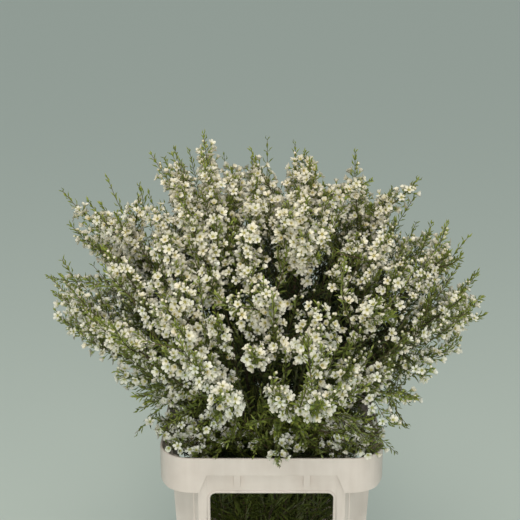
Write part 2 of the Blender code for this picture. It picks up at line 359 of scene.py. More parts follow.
@dataclass(frozen=True)
class MouldedPolypropylene:
    """Injection-moulded polypropylene: warm stone beige, satin, with handling scuffs."""

    name: str
    colour: str = "e3d9d2"
    worn: str = "d5cac2"
    smudge: str = "b79f90"
    roughness: float = 0.42
    uneven_gloss: tuple[float, float] = (0.06, 0.12)    # how much glossier and duller in places
    streak_mm: float = 14.0
    streak_scale: float = 0.12      # of heights, which stretches the pattern into streaks
    streak_share: float = 0.55      # strength of the streaks beside that of the clouds
    clouds_per_m: float = 22
    worn_from: float = 0.55         # streaks and clouds above which the wear shows
    scuff_mm: float = 5.0
    smudges: tuple[float, float, float] = (0.40, 0.52, 0.45)    # first, full and how strong
    grain_mm: float = 0.8
    grain_bump: tuple[float, float] = (0.08, 0.4 * MM)          # how strong and how deep
    refraction: float = 1.49

    def material(self) -> bpy.types.Material:
        """Builds the nodes: clouding, upright flow streaks, a few smudges and a fine grain."""
        made, tree, shader = new_material(self.name)
        place = add_node(tree, "ShaderNodeTexCoord").outputs["Object"]
        upright = add_node(tree, "ShaderNodeMapping", {"Scale": (1, 1, self.streak_scale)},
                           {"Vector": place}).outputs[0]
        streaks = add_node(tree, "ShaderNodeTexNoise",
                           {"Scale": 1000 / self.streak_mm, "Detail": 4}, {"Vector": upright})
        clouds = add_node(tree, "ShaderNodeTexNoise",
                          {"Scale": self.clouds_per_m, "Detail": 3}, {"Vector": place})
        scuffs = add_node(tree, "ShaderNodeTexNoise",
                          {"Scale": 1000 / self.scuff_mm, "Detail": 6, "Roughness": 0.7},
                          {"Vector": place})
        wear = add_node(tree, "ShaderNodeMath", {1: self.streak_share},
                        {0: streaks.outputs[0], 2: clouds.outputs[0]}, operation="MULTIPLY_ADD")
        tone = add_node(tree, "ShaderNodeValToRGB", links={0: wear.outputs[0]},
                        stops=[(self.worn_from, self.colour), (1.0, self.worn)])
        spots = add_node(tree, "ShaderNodeMath", operation="MULTIPLY",
                         links={0: scuffs.outputs[0], 1: clouds.outputs[0]})
        first, full, strong = self.smudges
        mask = add_node(tree, "ShaderNodeMapRange", {1: first, 2: full, 3: 0.0, 4: strong},
                        {0: spots.outputs[0]})
        colour = add_node(tree, "ShaderNodeMix", {7: linear(self.smudge)},
                          {0: mask.outputs[0], 6: tone.outputs[0]}, data_type="RGBA")
        least, most = self.roughness - self.uneven_gloss[0], self.roughness + self.uneven_gloss[1]
        gloss = add_node(tree, "ShaderNodeMapRange", {1: 0.3, 2: 0.7, 3: least, 4: most},
                         {0: scuffs.outputs[0]})
        # The mould's fine grain, drawn coarser than life so that it breaks the highlights
        grain = add_node(tree, "ShaderNodeTexNoise", {"Scale": 1000 / self.grain_mm},
                         {"Vector": place})
        strong, deep = self.grain_bump
        bump = add_node(tree, "ShaderNodeBump", {"Strength": strong, "Distance": deep},
                        {"Height": grain.outputs[0]})
        for name, source in (("Base Color", colour.outputs[2]), ("Roughness", gloss.outputs[0]),
                             ("Normal", bump.outputs[0])):
            tree.links.new(source, shader.inputs[name])
        shader.inputs["IOR"].default_value = self.refraction
        return made


@dataclass(frozen=True)
class PlantFinish:
    """A living surface whose colour runs along each item and differs from item to item.

    The map's height is the place along the item, and its width the item's tint: one ramp
    gives the items at tint 0 and the other those at tint 1.
    """

    name: str
    cool: tuple[tuple[float, str], ...]
    warm: tuple[tuple[float, str], ...]
    fleck: str
    fleck_share: float = 0.2
    roughness: float = 0.5
    fleck_spread: tuple[float, float] = (90, 7)     # flecks across the map and up it
    fleck_from: tuple[float, float] = (0.5, 0.75)   # noise where they set in and are full
    refraction: float = 1.45

    def material(self) -> bpy.types.Material:
        """Builds the nodes: two ramps along the item, mixed by its tint, and flecks."""
        made, tree, shader = new_material(self.name)
        spot = add_node(tree, "ShaderNodeUVMap", uv_map=MAP).outputs[0]
        parts = add_node(tree, "ShaderNodeSeparateXYZ", links={0: spot})
        tint, along = parts.outputs[0], parts.outputs[1]
        ramps = [
            add_node(tree, "ShaderNodeValToRGB", links={0: along}, stops=list(stops)).outputs[0]
            for stops in (self.cool, self.warm)
        ]
        toned = add_node(tree, "ShaderNodeMix", links={0: tint, 6: ramps[0], 7: ramps[1]},
                         data_type="RGBA").outputs[2]
        # Neighbouring tints take different flecks, so an item differs from the next one
        spread = add_node(tree, "ShaderNodeMapping", {"Scale": (*self.fleck_spread, 1)},
                          {"Vector": spot}).outputs[0]
        noise = add_node(tree, "ShaderNodeTexNoise", {"Scale": 1.0, "Detail": 2},
                         {"Vector": spread}, noise_dimensions="2D")
        first, full = self.fleck_from
        mask = add_node(tree, "ShaderNodeMapRange", {1: first, 2: full, 3: 0.0,
                                                     4: self.fleck_share}, {0: noise.outputs[0]})
        flecked = add_node(tree, "ShaderNodeMix", {7: linear(self.fleck)},
                           {0: mask.outputs[0], 6: toned}, data_type="RGBA").outputs[2]
        tree.links.new(flecked, shader.inputs["Base Color"])
        shader.inputs["Roughness"].default_value = self.roughness
        shader.inputs["IOR"].default_value = self.refraction
        return made


# Up the map lie the waxy petal, the stalk and yellow-green nectar cup, and the round bud.
# Tint 0 is cool white and tint 1 creamier; flowers higher up take more of it, painted warm light.
BLOOM = PlantFinish(
    "waxy_waxflower_petal",
    cool=((0.0, "a3ab6c"), (0.09, "c6cbae"), (0.17, "d7dbd0"), (0.45, "dfe1da"),
          (0.52, "4c6028"), (0.62, "7f9440"), (0.74, "a3a04a"), (0.80, "62763a"),
          (0.90, "c9cfae"), (1.0, "e6e6da")),
    warm=((0.0, "b3ab62"), (0.09, "ddd5ae"), (0.17, "e0dbc5"), (0.45, "e6e1ce"),
          (0.52, "56682c"), (0.62, "8f9a40"), (0.74, "ab8a40"), (0.80, "7b8546"),
          (0.90, "dcd6b4"), (1.0, "f1e2d0")),
    fleck="e0c4ae", fleck_share=0.25, roughness=0.42,
)
# Waxy needle leaves, a few tips scorched: nearly black inside the bunch, which is painted shade,
# and yellow-green outside, which is partly painted light
LEAF = PlantFinish(
    "waxflower_needle_leaf",
    cool=((0.0, "0d1407"), (0.5, "15210c"), (0.9, "1b2912"), (1.0, "262717")),
    warm=((0.0, "6a7c2e"), (0.5, "87953c"), (0.85, "979b46"), (1.0, "937844")),
    fleck="344f1a", fleck_share=0.45, roughness=0.48,
)
# Thin bark: grey-brown on old wood, reddish-green and smooth on this year's twigs
BARK = PlantFinish(
    "waxflower_bark",
    cool=((0.0, "2b2519"), (0.5, "352d1f"), (1.0, "4c4a2a")),
    warm=((0.0, "3f3527"), (0.5, "4d3e30"), (1.0, "6d5f40")),
    fleck="4e342e", fleck_share=0.5, roughness=0.7,
)


def dress(name: str, mesh: bpy.types.Mesh, finish: bpy.types.Material, slot: str,
          *nodes: str) -> bpy.types.Object:
    """Puts a mesh into the scene as a piece that rides on the model and stands for nodes.

    Args:
        name: the piece's name.
        mesh: its mesh, in place.
        finish: its material.
        slot: not used.
        nodes: the model's nodes that it replaces.
    Returns:
        The piece.
    """
    made = bpy.data.objects.new(name, mesh)
    mesh.materials.clear()
    mesh.materials.append(finish)
    bpy.context.scene.collection.objects.link(made)
    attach(made, BODY)
    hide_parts(*nodes)
    log.info("%s: %d faces", name, len(mesh.polygons))
    return made


def rounded_rings(edges: list[tuple[Array, float]], wraps: bool, steps: int = 3) -> list[Array]:
    """Rounds the edges that rings of points make along a wall.

    Each ring with a radius r becomes the curve (1-t)^2 a + 2t(1-t) p + t^2 b, where p is the
    ring's point and a and b lie r before and r past it.

    Args:
        edges: each edge's ring, (points, 3), and its rounding; 0 keeps it sharp.
        wraps: whether the last ring joins the first.
        steps: points of each rounding.
    Returns:
        The finer list of rings.
    """
    finer = []
    for number, (ring, radius) in enumerate(edges):
        ends = not wraps and number in (0, len(edges) - 1)
        if ends or not radius:
            finer.append(ring)
            continue
        before, after = edges[number - 1][0], edges[(number + 1) % len(edges)][0]
        a, b = ring + radius * unit(before - ring), ring + radius * unit(after - ring)
        for t in np.linspace(0, 1, steps):
            finer.append((1 - t)**2 * a + 2 * t * (1 - t) * ring + t**2 * b)
    return finer


def lofted(rings: list[Array], wraps: bool) -> Shape:
    """A closed body through rings; it wraps back to the first, or both ends get a fan cap."""
    count, sides = len(rings), len(rings[0])
    points = np.concatenate(rings)
    if wraps:
        quads = closed_rings(count + 1, sides) % len(points)
        return Shape(points, np.zeros((len(points), 2)), quads=quads)
    points = np.concatenate([points, [rings[0].mean(0), rings[-1].mean(0)]])
    return Shape(points, np.zeros((len(points), 2)), end_caps(count, sides),
                 closed_rings(count, sides))


def rounded_rectangle(width: float, height: float, radius: float, segments: int) -> Array:
    """Points of a rectangle with quarter-circle corners, counter-clockwise, (points, 2)."""
    corners = []
    for right, up, first in CORNER_TURNS:
        a = first + pi / 2 * np.arange(segments + 1) / segments
        x = right * (width / 2 - radius) + radius * np.cos(a)
        y = up * (height / 2 - radius) + radius * np.sin(a)
        corners.append(np.stack([x, y], 1))
    return np.concatenate(corners)


@dataclass(frozen=True)
class BucketPlan:
    """Rounded-rectangle plan that bucket and collar share, deeper than it is wide."""

    rim: float = 0.150            # half width of the outer rim
    deeper: float = 0.050         # half depth is half width plus this
    rim_corner: float = 0.045
    wall: float = 0.003
    ledge_drop: float = 0.014
    body_top: float = 0.136       # half width of a body just under its skirt
    panel_half: float = 0.098     # raised panel on the narrow sides
    panel_rise: float = 0.007
    panel_slant: float = 0.006
    lobe_reach: float = 0.054     # from the corner lines to the end of a lobe of the skirt
    lobe_slant: float = 0.010
    corner_segments: int = 14

    def outline(self, half_width: float, panel_rise: float = 0.0,
                flat: bool = False) -> Array:
        """Plan at a half width, counter-clockwise from the front side's left end, (points, 2).

        Every plan shares the rim's corner centres, so all outlines are parallel. Each straight
        side also has points where the panel and the lobes of the skirt begin. A corner is an
        arc, or its chord where the wall is flat across the corner.
        """
        half_depth = half_width + self.deeper
        radius = self.rim_corner - (self.rim - half_width)
        cx, cy = half_width - radius, half_depth - radius
        lobe_x = self.rim - self.lobe_reach
        lobe_y = lobe_x + self.deeper
        steps = np.array([
            (self.panel_half + self.panel_slant, 0.0), (self.panel_half, panel_rise),
            (lobe_x, panel_rise), (lobe_x - self.lobe_slant, panel_rise),
        ])
        x = np.concatenate([-steps[:, 0], steps[::-1, 0]])
        rise = np.concatenate([steps[:, 1], steps[::-1, 1]])
        y = np.array([-lobe_y, -lobe_y + self.lobe_slant, lobe_y - self.lobe_slant, lobe_y])
        share = np.arange(self.corner_segments + 1) / self.corner_segments
        out, on = (1 - share, share) if flat else (np.cos(pi / 2 * share), np.sin(pi / 2 * share))
        corners = [
            np.stack([mx * cx + radius * (out * cos(first) - on * sin(first)),
                      my * cy + radius * (out * sin(first) + on * cos(first))], 1)
            for mx, my, first in CORNER_TURNS
        ]
        return np.concatenate([
            np.stack([x, -half_depth - rise], 1), corners[0],
            np.stack([half_width + 0 * y, y], 1), corners[1],
            np.stack([-x, half_depth + rise], 1), corners[2],
            np.stack([-half_width + 0 * y, -y], 1), corners[3],
        ])

    def level(self, half_width: float, z: float | Array, panel_rise: float = 0.0,
              flat: bool = False) -> Array:
        """The outline at a half width, at a height or at one for each point, (points, 3)."""
        plan = self.outline(half_width, panel_rise, flat)
        return np.column_stack([plan, np.broadcast_to(z, len(plan))])


def evaluated(name: str, shape: Shape, cuts: list[tuple[str, list[Shape]]],
              sharp: float) -> bpy.types.Mesh:
    """Applies Boolean operations to a shape and returns the resulting mesh.

    Args:
        name: name of the result.
        shape: the body.
        cuts: operation and the shapes that take part in it, in order.
        sharp: angle between faces past which their edge stays sharp.
    Returns:
        The finished mesh.
    """
    body = bpy.data.objects.new(name, shape.mesh(name))
    bpy.context.scene.collection.objects.link(body)
    helpers = []
    for operation, shapes in cuts:
        tool = bpy.data.objects.new("tool", Shape.merged(shapes).mesh("tool"))
        bpy.context.scene.collection.objects.link(tool)
        step = body.modifiers.new(operation, "BOOLEAN")
        step.operation, step.object = operation, tool
        step.use_self = True
        helpers.append(tool)
    made = bpy.data.meshes.new_from_object(
        body.evaluated_get(bpy.context.evaluated_depsgraph_get())
    )
    made.name = name
    for helper in (body, *helpers):
        bpy.data.objects.remove(helper)
    for layer in list(made.uv_layers):
        made.uv_layers.remove(layer)
    made.shade_smooth()
    made.set_sharp_from_angle(angle=sharp)
    return made


def soften(piece: bpy.types.Object) -> None:
    """Keeps large faces flat in the shading beside their small rounded edges."""
    even = piece.modifiers.new("even_normals", "WEIGHTED_NORMAL")
    even.weight, even.keep_sharp = FLAT_FACE_WEIGHT, True


@dataclass(frozen=True)
class FlowerBucket:
    """Open moulded bucket, whose ledge inside the rim carries the collar."""

    plan: BucketPlan = BucketPlan()
    height: float = 0.235
    foot: float = 0.123
    skirt: float = 0.025
    edge: float = 0.9 * MM
    foot_edge: float = 4 * MM

    def build(self) -> bpy.types.Object:
        """Lofts the bucket's wall, rim and floor and dresses them."""
        plan, top = self.plan, self.height
        under = top - plan.ledge_drop - plan.wall
        inner, edge = plan.rim - plan.wall, self.edge
        rings = [
            (plan.level(self.foot - 2 * self.foot_edge, 0.0), 0),
            (plan.level(self.foot, 0.0), self.foot_edge),
            (plan.level(plan.body_top, under), 2 * edge), (plan.level(inner, under), 0),
            (plan.level(inner, top - self.skirt), edge),
            (plan.level(plan.rim, top - self.skirt), edge),
            (plan.level(plan.rim, top), 1.4 * edge), (plan.level(inner, top), edge),
            (plan.level(inner, top - plan.ledge_drop), edge),
            (plan.level(plan.body_top - plan.wall, top - plan.ledge_drop), edge),
            (plan.level(self.foot - plan.wall, plan.wall), self.foot_edge),
            (plan.level(self.foot - 2 * self.foot_edge - plan.wall, plan.wall), 0),
        ]
        shape = lofted(rounded_rings(rings, wraps=False), wraps=False)
        mesh = evaluated("bucket_mesh", shape, [], MOULD_CREASE)
        finish = MouldedPolypropylene("moulded_polypropylene_bucket", colour="dcd2c9")
        piece = dress("moulded_bucket", mesh, finish.material(), "bucket_plastic", "bucket")
        soften(piece)
        return piece


@dataclass(frozen=True)
class WindowedCollar:
    """Collar that stands on the bucket's ledge, with a lobed skirt and a window in each side."""

    plan: BucketPlan = BucketPlan()
    foot_z: float = 0.2213
    height: float = 0.2685
    foot: float = 0.1222
    flange: float = 0.1465
    skirt_drop: float = 0.025
    lobe_drop: float = 0.050
    lobe_rise: float = 0.006
    rib_place: float = 0.046
    rib_width: float = 0.0085
    rib_drop: float = 0.045
    window_top: float = 0.055
    window_height: float = 0.165
    front_window: float = 0.164
    side_window: float = 0.250
    window_corner: float = 0.008
    lip: float = 0.004
    lip_rise: float = 0.0015
    bead_sides: int = 10
    corner_steps: int = 6
    rib_steps: int = 4
    cut_depth: float = 0.040      # thickness of the plate that cuts a window
    edge: float = 0.9 * MM

    @property
    def top(self) -> float:
        """Height of the rim."""
        return self.foot_z + self.height

    @property
    def under(self) -> float:
        """Height of the underside of the stacking ledge."""
        return self.top - self.plan.ledge_drop - self.plan.wall

    def skirt_level(self, half_width: float) -> Array:
        """Lower edge of the skirt: deeper in a lobe round each corner, less so past mid-corner."""
        plan = self.plan
        x, y = np.abs(plan.outline(plan.rim)).T
        lobe_x = plan.rim - plan.lobe_reach - HAIR
        straight = plan.rim + plan.deeper - plan.rim_corner
        mid_corner = straight + plan.rim_corner * sin(pi / 4)
        past = np.clip((mid_corner - y) / (mid_corner - straight), 0, 1)
        in_lobe = (x > lobe_x) & (y > lobe_x + plan.deeper)
        drop = np.where(in_lobe, self.lobe_drop - self.lobe_rise * past, self.skirt_drop)
        return plan.level(half_width, self.top - drop)

    def walls(self) -> Shape:
        """Foot flange, tapering wall with its panels, ledge, skirt and rim in one section."""
        plan, edge, inner = self.plan, self.edge, self.plan.rim - self.plan.wall
        rise, foot = plan.panel_rise, self.foot_z
        rings = [
            (plan.level(self.flange, foot), edge),
            (plan.level(self.flange, foot + plan.wall), edge),
            (plan.level(self.foot, foot + plan.wall, rise, True), edge),
            (plan.level(plan.body_top, self.under, rise, True), 2 * edge),
            (plan.level(inner, self.under), edge),
            (self.skirt_level(inner), edge), (self.skirt_level(plan.rim), edge),
            (plan.level(plan.rim, self.top), 1.6 * edge), (plan.level(inner, self.top), edge),
            (plan.level(inner, self.top - plan.ledge_drop), edge),
            (plan.level(plan.body_top - plan.wall, self.top - plan.ledge_drop, rise, True), edge),
            (plan.level(self.foot - plan.wall, foot, rise, True), edge),
        ]
        return lofted(rounded_rings(rings, wraps=True), wraps=True)

    def openings(self) -> list[tuple[float, float, float]]:
        """Turn about Z, width and distance from the middle of each window's wall."""
        taper = self.taper()
        wall_x = self.plan.body_top - taper * (self.under - self.window_middle())
        wall_y = wall_x + self.plan.deeper + self.plan.panel_rise
        return [(0.0, self.front_window, wall_y), (pi, self.front_window, wall_y),
                (pi / 2, self.side_window, wall_x), (-pi / 2, self.side_window, wall_x)]

    def taper(self) -> float:
        """Slope of the wall: how much further out it is for each unit of height."""
        return (self.plan.body_top - self.foot) / (self.under - self.foot_z - self.plan.wall)

    def window_middle(self) -> float:
        """Height of the windows' middle."""
        return self.top - self.window_top - self.window_height / 2

    def placed(self, points: Array, turn: float, distance: float, lean: float,
               z: float, x: float = 0.0) -> Array:
        """Moves points drawn facing -Y at the origin to the wall that faces one way."""
        place = (Matrix.Rotation(turn, 4, "Z") @ Matrix.Translation((x, -distance, z))
                 @ Matrix.Rotation(lean, 4, "X"))
        turned_by = np.array(place)
        return points @ turned_by[:3, :3].T + turned_by[:3, 3]

    def prism(self, ring: Array, thickness: float) -> Shape:
        """A plate of the given outline in X and Z, thick along Y and closed."""
        x, z = ring.T
        back = np.column_stack([x, 0 * x + thickness / 2, z])
        front = np.column_stack([x, 0 * x - thickness / 2, z])
        return lofted([back, front], wraps=False)

    def bead(self, width: float, height: float, corner: float, half_wide: float,
             half_high: float) -> Shape:
        """A closed bead round a rounded rectangle.

        At place p of the rectangle and angle a a point is p + w cos a outwards in the wall's
        plane and h sin a off the wall.
        """
        inner = rounded_rectangle(width, height, corner, self.corner_steps)
        outer = rounded_rectangle(width + 2 * half_wide, height + 2 * half_wide,
                                  corner + half_wide, self.corner_steps)
        outwards = unit(outer - inner)
        angle = 2 * pi * np.arange(self.bead_sides) / self.bead_sides
        flat = inner[:, None] + half_wide * np.cos(angle)[:, None] * outwards[:, None]
        off = -half_high * np.sin(angle)[None] + 0 * flat[..., 0]
        points = np.stack([flat[..., 0], off, flat[..., 1]], -1)
        return lofted(list(points), wraps=True)

    def ribs(self) -> list[Shape]:
        """Short ribs that bridge the gap between the raised panels and the skirt."""
        plan = self.plan
        # A rib begins inside the panel's wall and ends inside the ledge's and the skirt's
        deep, half = 0.8 * plan.wall, 0.5 * plan.wall
        panel = plan.body_top + plan.deeper + plan.panel_rise - deep
        skirt = plan.rim + plan.deeper - half
        upper, lower = self.top - plan.ledge_drop - half, self.top - self.rib_drop
        ring = rounded_rectangle(self.rib_width, upper - lower, deep, self.rib_steps)
        made = []
        for turn in (0.0, pi):
            for x in (-self.rib_place, self.rib_place):
                rib = self.prism(ring, skirt - panel)
                rib.points = self.placed(rib.points, turn, (panel + skirt) / 2, 0.0,
                                         (upper + lower) / 2, x)
                made.append(rib)
        return made

    def build(self) -> bpy.types.Object:
        """Makes the walls, adds beads and ribs, cuts the windows and dresses it."""
        beads, windows = [], []
        middle, lean = self.window_middle(), atan(self.taper())
        for turn, width, wall in self.openings():
            bead = self.bead(width + self.lip, self.window_height + self.lip,
                             self.window_corner + self.lip / 2, self.lip / 2, self.lip_rise)
            cut = self.prism(rounded_rectangle(width, self.window_height, self.window_corner,
                                               self.corner_steps), self.cut_depth)
            for shape, kept, tilt in ((bead, beads, lean), (cut, windows, 0.0)):
                shape.points = self.placed(shape.points, turn, wall, tilt, middle)
                kept.append(shape)
        cuts = [("UNION", beads + self.ribs()), ("DIFFERENCE", windows)]
        mesh = evaluated("collar_mesh", self.walls(), cuts, MOULD_CREASE)
        finish = MouldedPolypropylene("moulded_polypropylene_collar")
        piece = dress("windowed_collar", mesh, finish.material(), "collar_plastic", "collar")
        soften(piece)
        return piece


# Tips of the long leafy shoots that stand out of the bunch, from left to right
SHOOTS = (
    (-0.326, 0.030, 0.668), (-0.313, -0.020, 0.682), (-0.304, 0.000, 0.610),
    (-0.286, 0.050, 0.606), (-0.295, 0.060, 0.738), (-0.293, 0.000, 0.803),
    (-0.252, -0.060, 0.604), (-0.252, -0.030, 0.795), (-0.246, 0.050, 0.756),
    (-0.208, -0.080, 0.791), (-0.180, -0.050, 0.807), (-0.167, 0.000, 0.855),
    (-0.131, 0.080, 0.828), (-0.095, 0.020, 0.880), (-0.028, 0.050, 0.849),
    (0.034, 0.030, 0.863), (0.060, -0.050, 0.844), (0.118, 0.020, 0.854),
    (0.133, -0.060, 0.831), (0.174, 0.030, 0.799), (0.204, 0.000, 0.818),
    (0.250, -0.040, 0.709), (0.254, 0.030, 0.748), (0.296, 0.020, 0.675),
    (0.310, 0.000, 0.619), (0.284, 0.020, 0.602), (0.246, -0.050, 0.600),
)


class Bloom(Enum):
    """How far a flower is open: the angle at which its petals rise."""

    FLAT = radians(18)
    CUPPED = radians(40)
    HALF_OPEN = radians(64)


@dataclass(frozen=True)
class FlowerForm:
    """One waxflower: five rounded petals round a nectar cup that narrows into its stalk.

    Its axis is +Z and its origin the middle of the cup's mouth. The lower pole of the cup is
    the stalk's foot, which is moved to the twig once the flower is in place.
    """

    petals: int = 5
    rim_points: int = 6                 # points round one petal
    throat: float = 1.2 * MM
    petal_middle: float = 4.3 * MM
    petal_length: float = 3.1 * MM      # half length
    petal_width: float = 2.3 * MM       # half width
    widening: float = 0.25              # how much wider a petal is towards its tip
    hollow: float = 0.9 * MM
    thickness: float = 0.5 * MM
    cup: Profile = ((0, -8, 0.50), (0.45, -4.2, 0.53), (1.8, 0.1, 0.64), (0, -0.6, 0.76))
    cup_sides: int = 4
    uneven: float = 0.07                # how much petals of one flower differ
    tip_on_map: float = 0.44            # place of a petal's tip on the map
    map_width: float = 2.6              # petal widths that the map is wide

    def petal(self, rise: float) -> Shape:
        """A closed trough: a rim of six points round a keel, with its sides lifted.

        At angle a the rim is (m + l cos a, w (1 + cos a / 4) sin a) and h sin^2 a high.
        """
        count = self.rim_points
        a = pi + 2 * pi * np.arange(count) / count
        x = np.append(self.petal_middle + self.petal_length * np.cos(a), self.petal_middle)
        y = np.append(self.petal_width * (1 + self.widening * np.cos(a)) * np.sin(a), 0.0)
        z = np.append(self.hollow * np.sin(a) ** 2, -self.thickness)
        out = x - self.throat
        points = np.stack([
            self.throat + out * cos(rise) - z * sin(rise), y, out * sin(rise) + z * cos(rise),
        ], 1)
        side, after = np.arange(count), (np.arange(count) + 1) % count
        fan = np.arange(1, count - 1)
        faces = np.concatenate([np.stack([0 * fan, fan, fan + 1], 1),
                                np.stack([0 * side + count, after, side], 1)])
        along = np.clip(out / (2 * self.petal_length), 0, 1) * self.tip_on_map
        across = 0.5 + y / (self.map_width * self.petal_width)
        return Shape(points, np.stack([across, along], 1), faces)

    def form(self, bloom: Bloom, rng: np.random.Generator) -> Shape:
        """The whole flower at one stage of opening, its petals a little uneven."""
        parts = [turned(self.cup, self.cup_sides)]
        for number in range(self.petals):
            part = self.petal(bloom.value + 2 * self.uneven * rng.standard_normal())
            turn = 2 * pi * (number + self.uneven * rng.standard_normal()) / self.petals
            size = 1 + self.uneven * rng.standard_normal()
            c, s = size * cos(turn), size * sin(turn)
            part.points = part.points @ np.array([[c, s, 0], [-s, c, 0], [0, 0, size]])
            parts.append(part)
        return Shape.merged(parts)


def leaf_form(bend: float) -> Shape:
    """A keeled needle leaf of length and width 1 along +X, widest past its middle."""
    points = np.array([[0.0, 0.0, 0.0], [0.6, 0.5, 0.0], [0.6, -0.5, 0.0], [0.6, 0.0, -0.5],
                       [1.0, 0.0, bend]])
    triangles = np.array([[0, 2, 1], [0, 3, 2], [0, 1, 3], [4, 1, 2], [4, 2, 3], [4, 3, 1]])
    across = np.array([0.5, 0.0, 1.0, 0.5, 0.5])
    along = np.array([0.02, 0.5, 0.5, 0.5, 0.98])
    return Shape(points, np.stack([across, along], 1), triangles)


# Tips bent up and bent down, in leaf widths
LEAF_FORMS = [leaf_form(0.9), leaf_form(-0.7)]
# A round white bud in its green cup, on a stalk whose foot is the first vertex
BUD = ((0, -7, 0.50), (0.45, -3.2, 0.53), (1.5, -1.6, 0.80), (2.2, 0.2, 0.86),
       (1.6, 1.7, 0.96), (0, 2.4, 1.0))
BUD_FORMS = [turned(BUD, sides=5)]


@dataclass(frozen=True)
class Targets:
    """Ends of twigs on the bunch's surface: place, direction there, length, and their stem."""

    tips: Array
    finish: Array
    length: Array
    owner: NDArray[np.int64]


@dataclass(frozen=True)
class Layer:
    """One kind of side twigs, which grow up to ends spread over a part of the bunch."""

    seed: int                       # start of its random draws
    count: int                      # ends, before those out of bounds fall away
    length: tuple[float, float]     # shortest and longest twig
    pairs: int                      # pairs of leaves along a twig
    zone: tuple[float, float]       # shares of a twig between which it flowers
    flowering: float                # share of the twigs that flower
    depth: tuple[float, float] = (0.0, 0.0)     # shares of the reach by which ends lie deeper
    rise: tuple[float, float] = (0.0, 0.0)      # lowest and highest end above the rim
    fan: float = 0.0                # how far ends lean out for each metre from the middle
    upwards: float = 1.0            # how much they point up beside that
    low: float = 0.02               # share of the stem from which twigs may leave it
    lift: float = 0.3               # how steeply a twig first rises

    def fanned(self, tips: Array) -> Array:
        """Directions of ends at the rim, which lean out by their distance from the middle."""
        return unit(tips * (self.fan, self.fan, 0) + self.upwards * UP)


# Flowering twigs of the domed top, and leafy ones under them that close the bunch
DOME = Layer(11, 232, (0.13, 0.20), 34, (0.28, 0.93), 0.97, depth=(0.0, 0.13))
CORE = Layer(14, 150, (0.12, 0.18), 22, (1.0, 1.0), 0.0, depth=(0.08, 0.38))
# Twigs round the lower side, in the collar's mouth, and over the corners of its rim
WALL = Layer(12, 135, (0.09, 0.15), 24, (0.30, 0.95), 0.32, rise=(0.004, 0.135), low=-0.10,
             lift=0.9)
MOUTH = Layer(13, 190, (0.07, 0.12), 15, (0.45, 1.0), 0.30, rise=(-0.005, 0.045), fan=2.5,
              low=-0.25, lift=0.6)
CORNERS = Layer(15, 120, (0.07, 0.13), 18, (0.50, 0.98), 0.35, rise=(-0.008, 0.045), fan=2.0,
                upwards=0.8, low=-0.25, lift=0.8)


